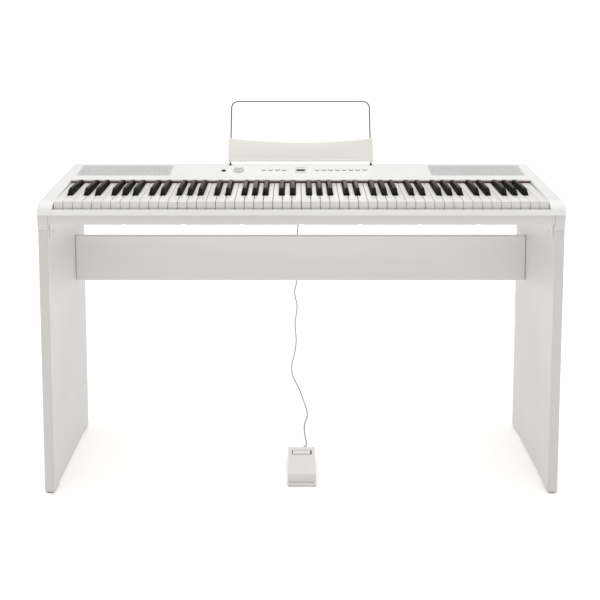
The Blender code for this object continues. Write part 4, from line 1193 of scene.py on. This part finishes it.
def make_pedal():
    low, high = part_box("pedal_plate")
    x0, x1 = low.x, high.x
    middle = (x0 + x1) / 2
    half = (x1 - x0) / 2
    along_x = Matrix.Translation(PEDAL_HINGE) @ Matrix.Rotation(pi / 2, 4, "Y")

    base_low, base_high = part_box("pedal_base")
    base_x, base_y = (base_high.x - base_low.x) / 2, (base_high.y - base_low.y) / 2
    place = Matrix.Translation(((base_low.x + base_high.x) / 2, (base_low.y + base_high.y) / 2, 0.0))
    sole_inset, sole_height = 0.0003, 0.0018
    outline = rounded_outline(base_x - sole_inset, base_y - sole_inset, 0.0025)
    sole = shape(add_prism, outline, "Z", 0.0, sole_height, place)
    make_piece("pedal_sole", sole, RUBBER)
    base = shape(add_cushion, base_x, base_y, 0.0035, sole_height, 0.006, 0.0016, place)
    thing = rough_object(base)
    inset = 0.0032
    block = shape(add_box, (x0 + inset, at_depth(0.034), 0.003), (x1 - inset, at_depth(0.142), 0.0185))
    carve(thing, block, "UNION")
    pegs = shape(add_cylinder, PEDAL_PEG_RADIUS, -half + 0.0003, half - 0.0003, along_x, steps=24)
    carve(thing, pegs, "UNION")
    make_piece("pedal_base_moulding", thing, PEDAL_WHITE, replaces=["pedal_base"],
               bevel=0.0003)

    outer = [(0.1485, 0.0110), (0.1485, 0.0290), (0.1481, 0.0303), PEDAL_REAR_TOP, PEDAL_FRONT_TOP,
             (0.0385, 0.0318), (0.0355, 0.0309), (0.0332, 0.0295), (0.0315, 0.0276), (0.0305, 0.0252),
             (0.0300, 0.0225), (0.0300, 0.0140)]
    inner = [(0.1460, 0.0050), (0.1460, 0.0283), (0.0400, 0.0293), (0.0360, 0.0283), (0.0335, 0.0265),
             (0.0325, 0.0230), (0.0325, 0.0050)]
    wall = 0.0025
    outer, inner = ([(at_depth(depth), height) for depth, height in line] for line in (outer, inner))
    thing = rough_object(shape(add_prism, outer, "X", x0, x1))
    carve(thing, shape(add_prism, inner, "X", x0 + wall, x1 - wall))
    holes = shape(add_cylinder, PEDAL_PEG_RADIUS + 0.0004, -half - 0.01, half + 0.01, along_x, steps=24)
    carve(thing, holes)
    fall = (PEDAL_FRONT_TOP[1] - PEDAL_REAR_TOP[1]) / (PEDAL_REAR_TOP[0] - PEDAL_FRONT_TOP[0])
    height = PEDAL_FRONT_TOP[1] - fall * (PEDAL_PANEL_DEPTH - PEDAL_FRONT_TOP[0])
    spot = Matrix.Translation((middle + 0.0005, at_depth(PEDAL_PANEL_DEPTH), height))
    spot = spot @ Matrix.Rotation(-atan(fall), 4, "X")
    pocket, seat_height, slack = 0.0012, 0.0004, 0.0001
    half_x, half_y = PEDAL_PANEL_HALF_X, PEDAL_PANEL_HALF_Y
    carve(thing, shape(add_prism, rounded_outline(half_x, half_y, 0.0012), "Z", -pocket, 0.01, spot))
    cover = make_piece("pedal_cover", thing, PEDAL_WHITE, body="pedal",
                       replaces=["pedal_plate"], bevel=0.0009, sharp=30)
    # The cover's front slope takes painted shade, a darker copy of the pedal white.
    use_second_look(cover, PEDAL_FRONT_PAINTED_SHADE, lambda normal: normal.y < -0.30)
    # The seat is black so that the groove round the inlay reads dark: painted shade in the groove.
    outline = rounded_outline(half_x - slack, half_y - slack, 0.0011)
    seat = shape(add_prism, outline, "Z", -pocket, seat_height - pocket, spot)
    make_piece("pedal_panel_seat", seat, BLACK_PLASTIC, body="pedal")
    inlay = shape(add_cushion, half_x - 0.0026, half_y - 0.0021, 0.0010, seat_height - pocket, -slack,
                  0.0003, spot, middle=(-0.0006, 0.0005))
    make_piece("pedal_inlay", inlay, PEDAL_WHITE, body="pedal")

    low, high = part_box("pedal_spring")
    centre = (low + high) / 2
    climb = high.z - low.z - 2 * SPRING_WIRE
    path = []
    steps = 120
    for k in range(steps + 1):
        angle = 2 * pi * SPRING_TURNS * k / steps
        path.append((centre.x + SPRING_RADIUS * cos(angle), centre.y + SPRING_RADIUS * sin(angle),
                     low.z + SPRING_WIRE + climb * k / steps))
    coil = make_piece("pedal_spring_coil", shape(add_tube, path, SPRING_WIRE, steps=10), STEEL,
                      replaces=["pedal_spring"], sharp=60)
    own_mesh(coil)

    low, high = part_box("pedal_strain_relief")
    profile = [(0.0045, 0.0), (0.0045, 0.0022), (0.0037, 0.0027)]
    length = high.y - low.y
    ribs = 5
    for k in range(ribs):
        start = 0.0034 + (length - 0.0055) * k / ribs
        radius = 0.0036 - 0.0013 * k / ribs
        profile += [(radius, start), (radius, start + 0.0020), (radius - 0.0006, start + 0.0023),
                    (radius - 0.0006, start + 0.0031)]
    profile += [(0.0022, length - 0.0012), (0.0021, length)]
    spot = along_y((low.x + high.x) / 2, low.y, (low.z + high.z) / 2)
    relief = shape(add_lathe, profile, spot, steps=28)
    return make_piece("pedal_cord_relief", relief, CORD_GREY, replaces=["pedal_strain_relief"],
                      sharp=40)


def make_jack_and_plug():
    rear = at_depth(CASE_REAR_DEPTH)
    spot = along_y(JACK_X, rear, JACK_HEIGHT)
    wall = 0.0003
    profile = ((0.0, -0.0250), (0.0047, -0.0250), (0.0047, wall), (0.0065, wall), (0.0065, 0.0016),
               (0.0060, 0.0023), (0.0048, 0.0023), (0.0044, 0.0015), (0.0036, 0.0015), (0.0035, 0.0013),
               (0.0035, -0.0225), (0.0, -0.0225))
    jack = shape(add_lathe, profile, spot, steps=36)
    make_piece("pedal_jack_socket", jack, BLACK_PLASTIC, replaces=["pedal_jack"])

    low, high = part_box("pedal_plug")
    length = high.y - rear
    start, grip, groove = wall + 0.0025, 0.0060, 0.0054
    profile = [(0.0, -0.0180), (0.0014, -0.0176), (0.0024, -0.0165), (0.0017, -0.0155),
               (0.0031, -0.0145), (0.0031, start), (0.0056, start), (grip, start + 0.0008),
               (grip, 0.0090)]
    for k in range(6):
        z = 0.0092 + 0.0026 * k
        profile += [(grip, z), (groove, z + 0.0004), (groove, z + 0.0012), (grip, z + 0.0016)]
    profile += [(0.0058, 0.0262), (0.0046, 0.0290), (0.0036, 0.0310), (0.0030, 0.0350),
                (0.0024, length - 0.001), (0.0021, length)]
    return make_piece("pedal_plug_body", shape(add_lathe, profile, spot, steps=32), BLACK_PLASTIC,
                      replaces=["pedal_plug"], sharp=40)


def make_cord():
    route = smooth_route([(x, at_depth(depth), height) for x, depth, height in CORD_ROUTE], 320)
    for _ in range(32):
        inner = [(a + 2 * b + c) / 4 for a, b, c in zip(route, route[1:], route[2:])]
        route = [route[0], *inner, route[-1]]
    for spot in route:
        spot.z = max(spot.z, CORD_RADIUS + 0.0001)
    curve = bpy.data.curves.new("pedal_cord_lead", "CURVE")
    curve.dimensions = "3D"
    curve.bevel_depth = CORD_RADIUS
    curve.bevel_resolution = 5
    curve.use_fill_caps = True
    spline = curve.splines.new("POLY")
    spline.points.add(len(route) - 1)
    for point, spot in zip(spline.points, route):
        point.co = (*spot, 1.0)
    spline.use_smooth = True
    curve.materials.append(CORD_GREY)
    cord = add_object("pedal_cord_lead", curve)
    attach(cord, "root")
    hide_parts("pedal_cord")


# ---- studio

def make_camera():
    """A camera a little left of the middle, at standing height, with a shifted lens."""
    data = bpy.data.cameras.new("camera")
    data.sensor_width = 36.0
    data.lens = 43.65
    data.shift_x = 0.0081
    data.shift_y = -0.398
    data.clip_end = 200.0
    camera = add_object("camera", data)
    camera.location = (-0.0153, PANEL_FRONT - 1.7522, 1.2327)
    camera.rotation_euler = (radians(90 - 4.386), 0.0, 0.0)
    bpy.context.scene.camera = camera


def make_floor():
    size = 60.0
    corners = [(-size, -size, 0), (size, -size, 0), (size, size, 0), (-size, size, 0)]
    mesh = bpy.data.meshes.new("floor")
    mesh.from_pydata(corners, [], [(0, 1, 2, 3)])
    look = bpy.data.materials.new("floor")
    look.use_nodes = True
    shader = look.node_tree.nodes["Principled BSDF"]
    for socket, value in (("Base Color", (0.90, 0.882, 0.865, 1.0)), ("Roughness", 0.9),
                          ("Specular IOR Level", 0.1), ("Emission Color", (1.0, 0.99, 0.98, 1.0)),
                          ("Emission Strength", 0.25)):
        shader.inputs[socket].default_value = value
    mesh.materials.append(look)
    add_object("floor", mesh)


def make_sun(tilt, spread, power):
    """A broad soft light from the sky, tilted from straight above towards the player."""
    data = bpy.data.lights.new("overhead_light", "SUN")
    data.energy = power
    data.angle = radians(spread)
    add_object("overhead_light", data).rotation_euler = (radians(tilt), 0.0, 0.0)


def make_studio():
    """The floor, the light, and a white surround that is brighter to the eye than as a light."""
    make_floor()
    make_sun(4.0, 95.0, 2.8)
    world = bpy.data.worlds.new("studio")
    bpy.context.scene.world = world
    world.use_nodes = True
    tree, link = world.node_tree, world.node_tree.links.new
    white = (1.0, 1.0, 1.0, 1.0)
    fill = add_node(tree, "Background", Color=white, Strength=0.21)
    seen = add_node(tree, "Background", Color=white, Strength=1.2)
    rays = add_node(tree, "LightPath")
    choose = add_node(tree, "MixShader")
    link(rays.outputs["Is Camera Ray"], choose.inputs["Fac"])
    link(fill.outputs["Background"], choose.inputs[1])
    link(seen.outputs["Background"], choose.inputs[2])
    link(choose.outputs["Shader"], tree.nodes["World Output"].inputs["Surface"])
    bpy.context.scene.view_settings.view_transform = "Standard"


make_camera()
for side, label in ((-1, "left"), (1, "right")):
    make_side(side, label)
    make_grille(side, label)
    make_speaker(side, label)
make_crossbar()
make_top_case()
make_bottom_case()
make_felt()
make_display()
make_inner_pieces()
make_keys()
for node in BUTTON_NODES:
    make_button(node, 0.0055, CASE_WHITE)
make_button("power_button", 0.006, POWER_BLACK)
make_knob()
make_music_rest()
relief_piece = make_pedal()
plug_piece = make_jack_and_plug()
make_cord()
make_studio()
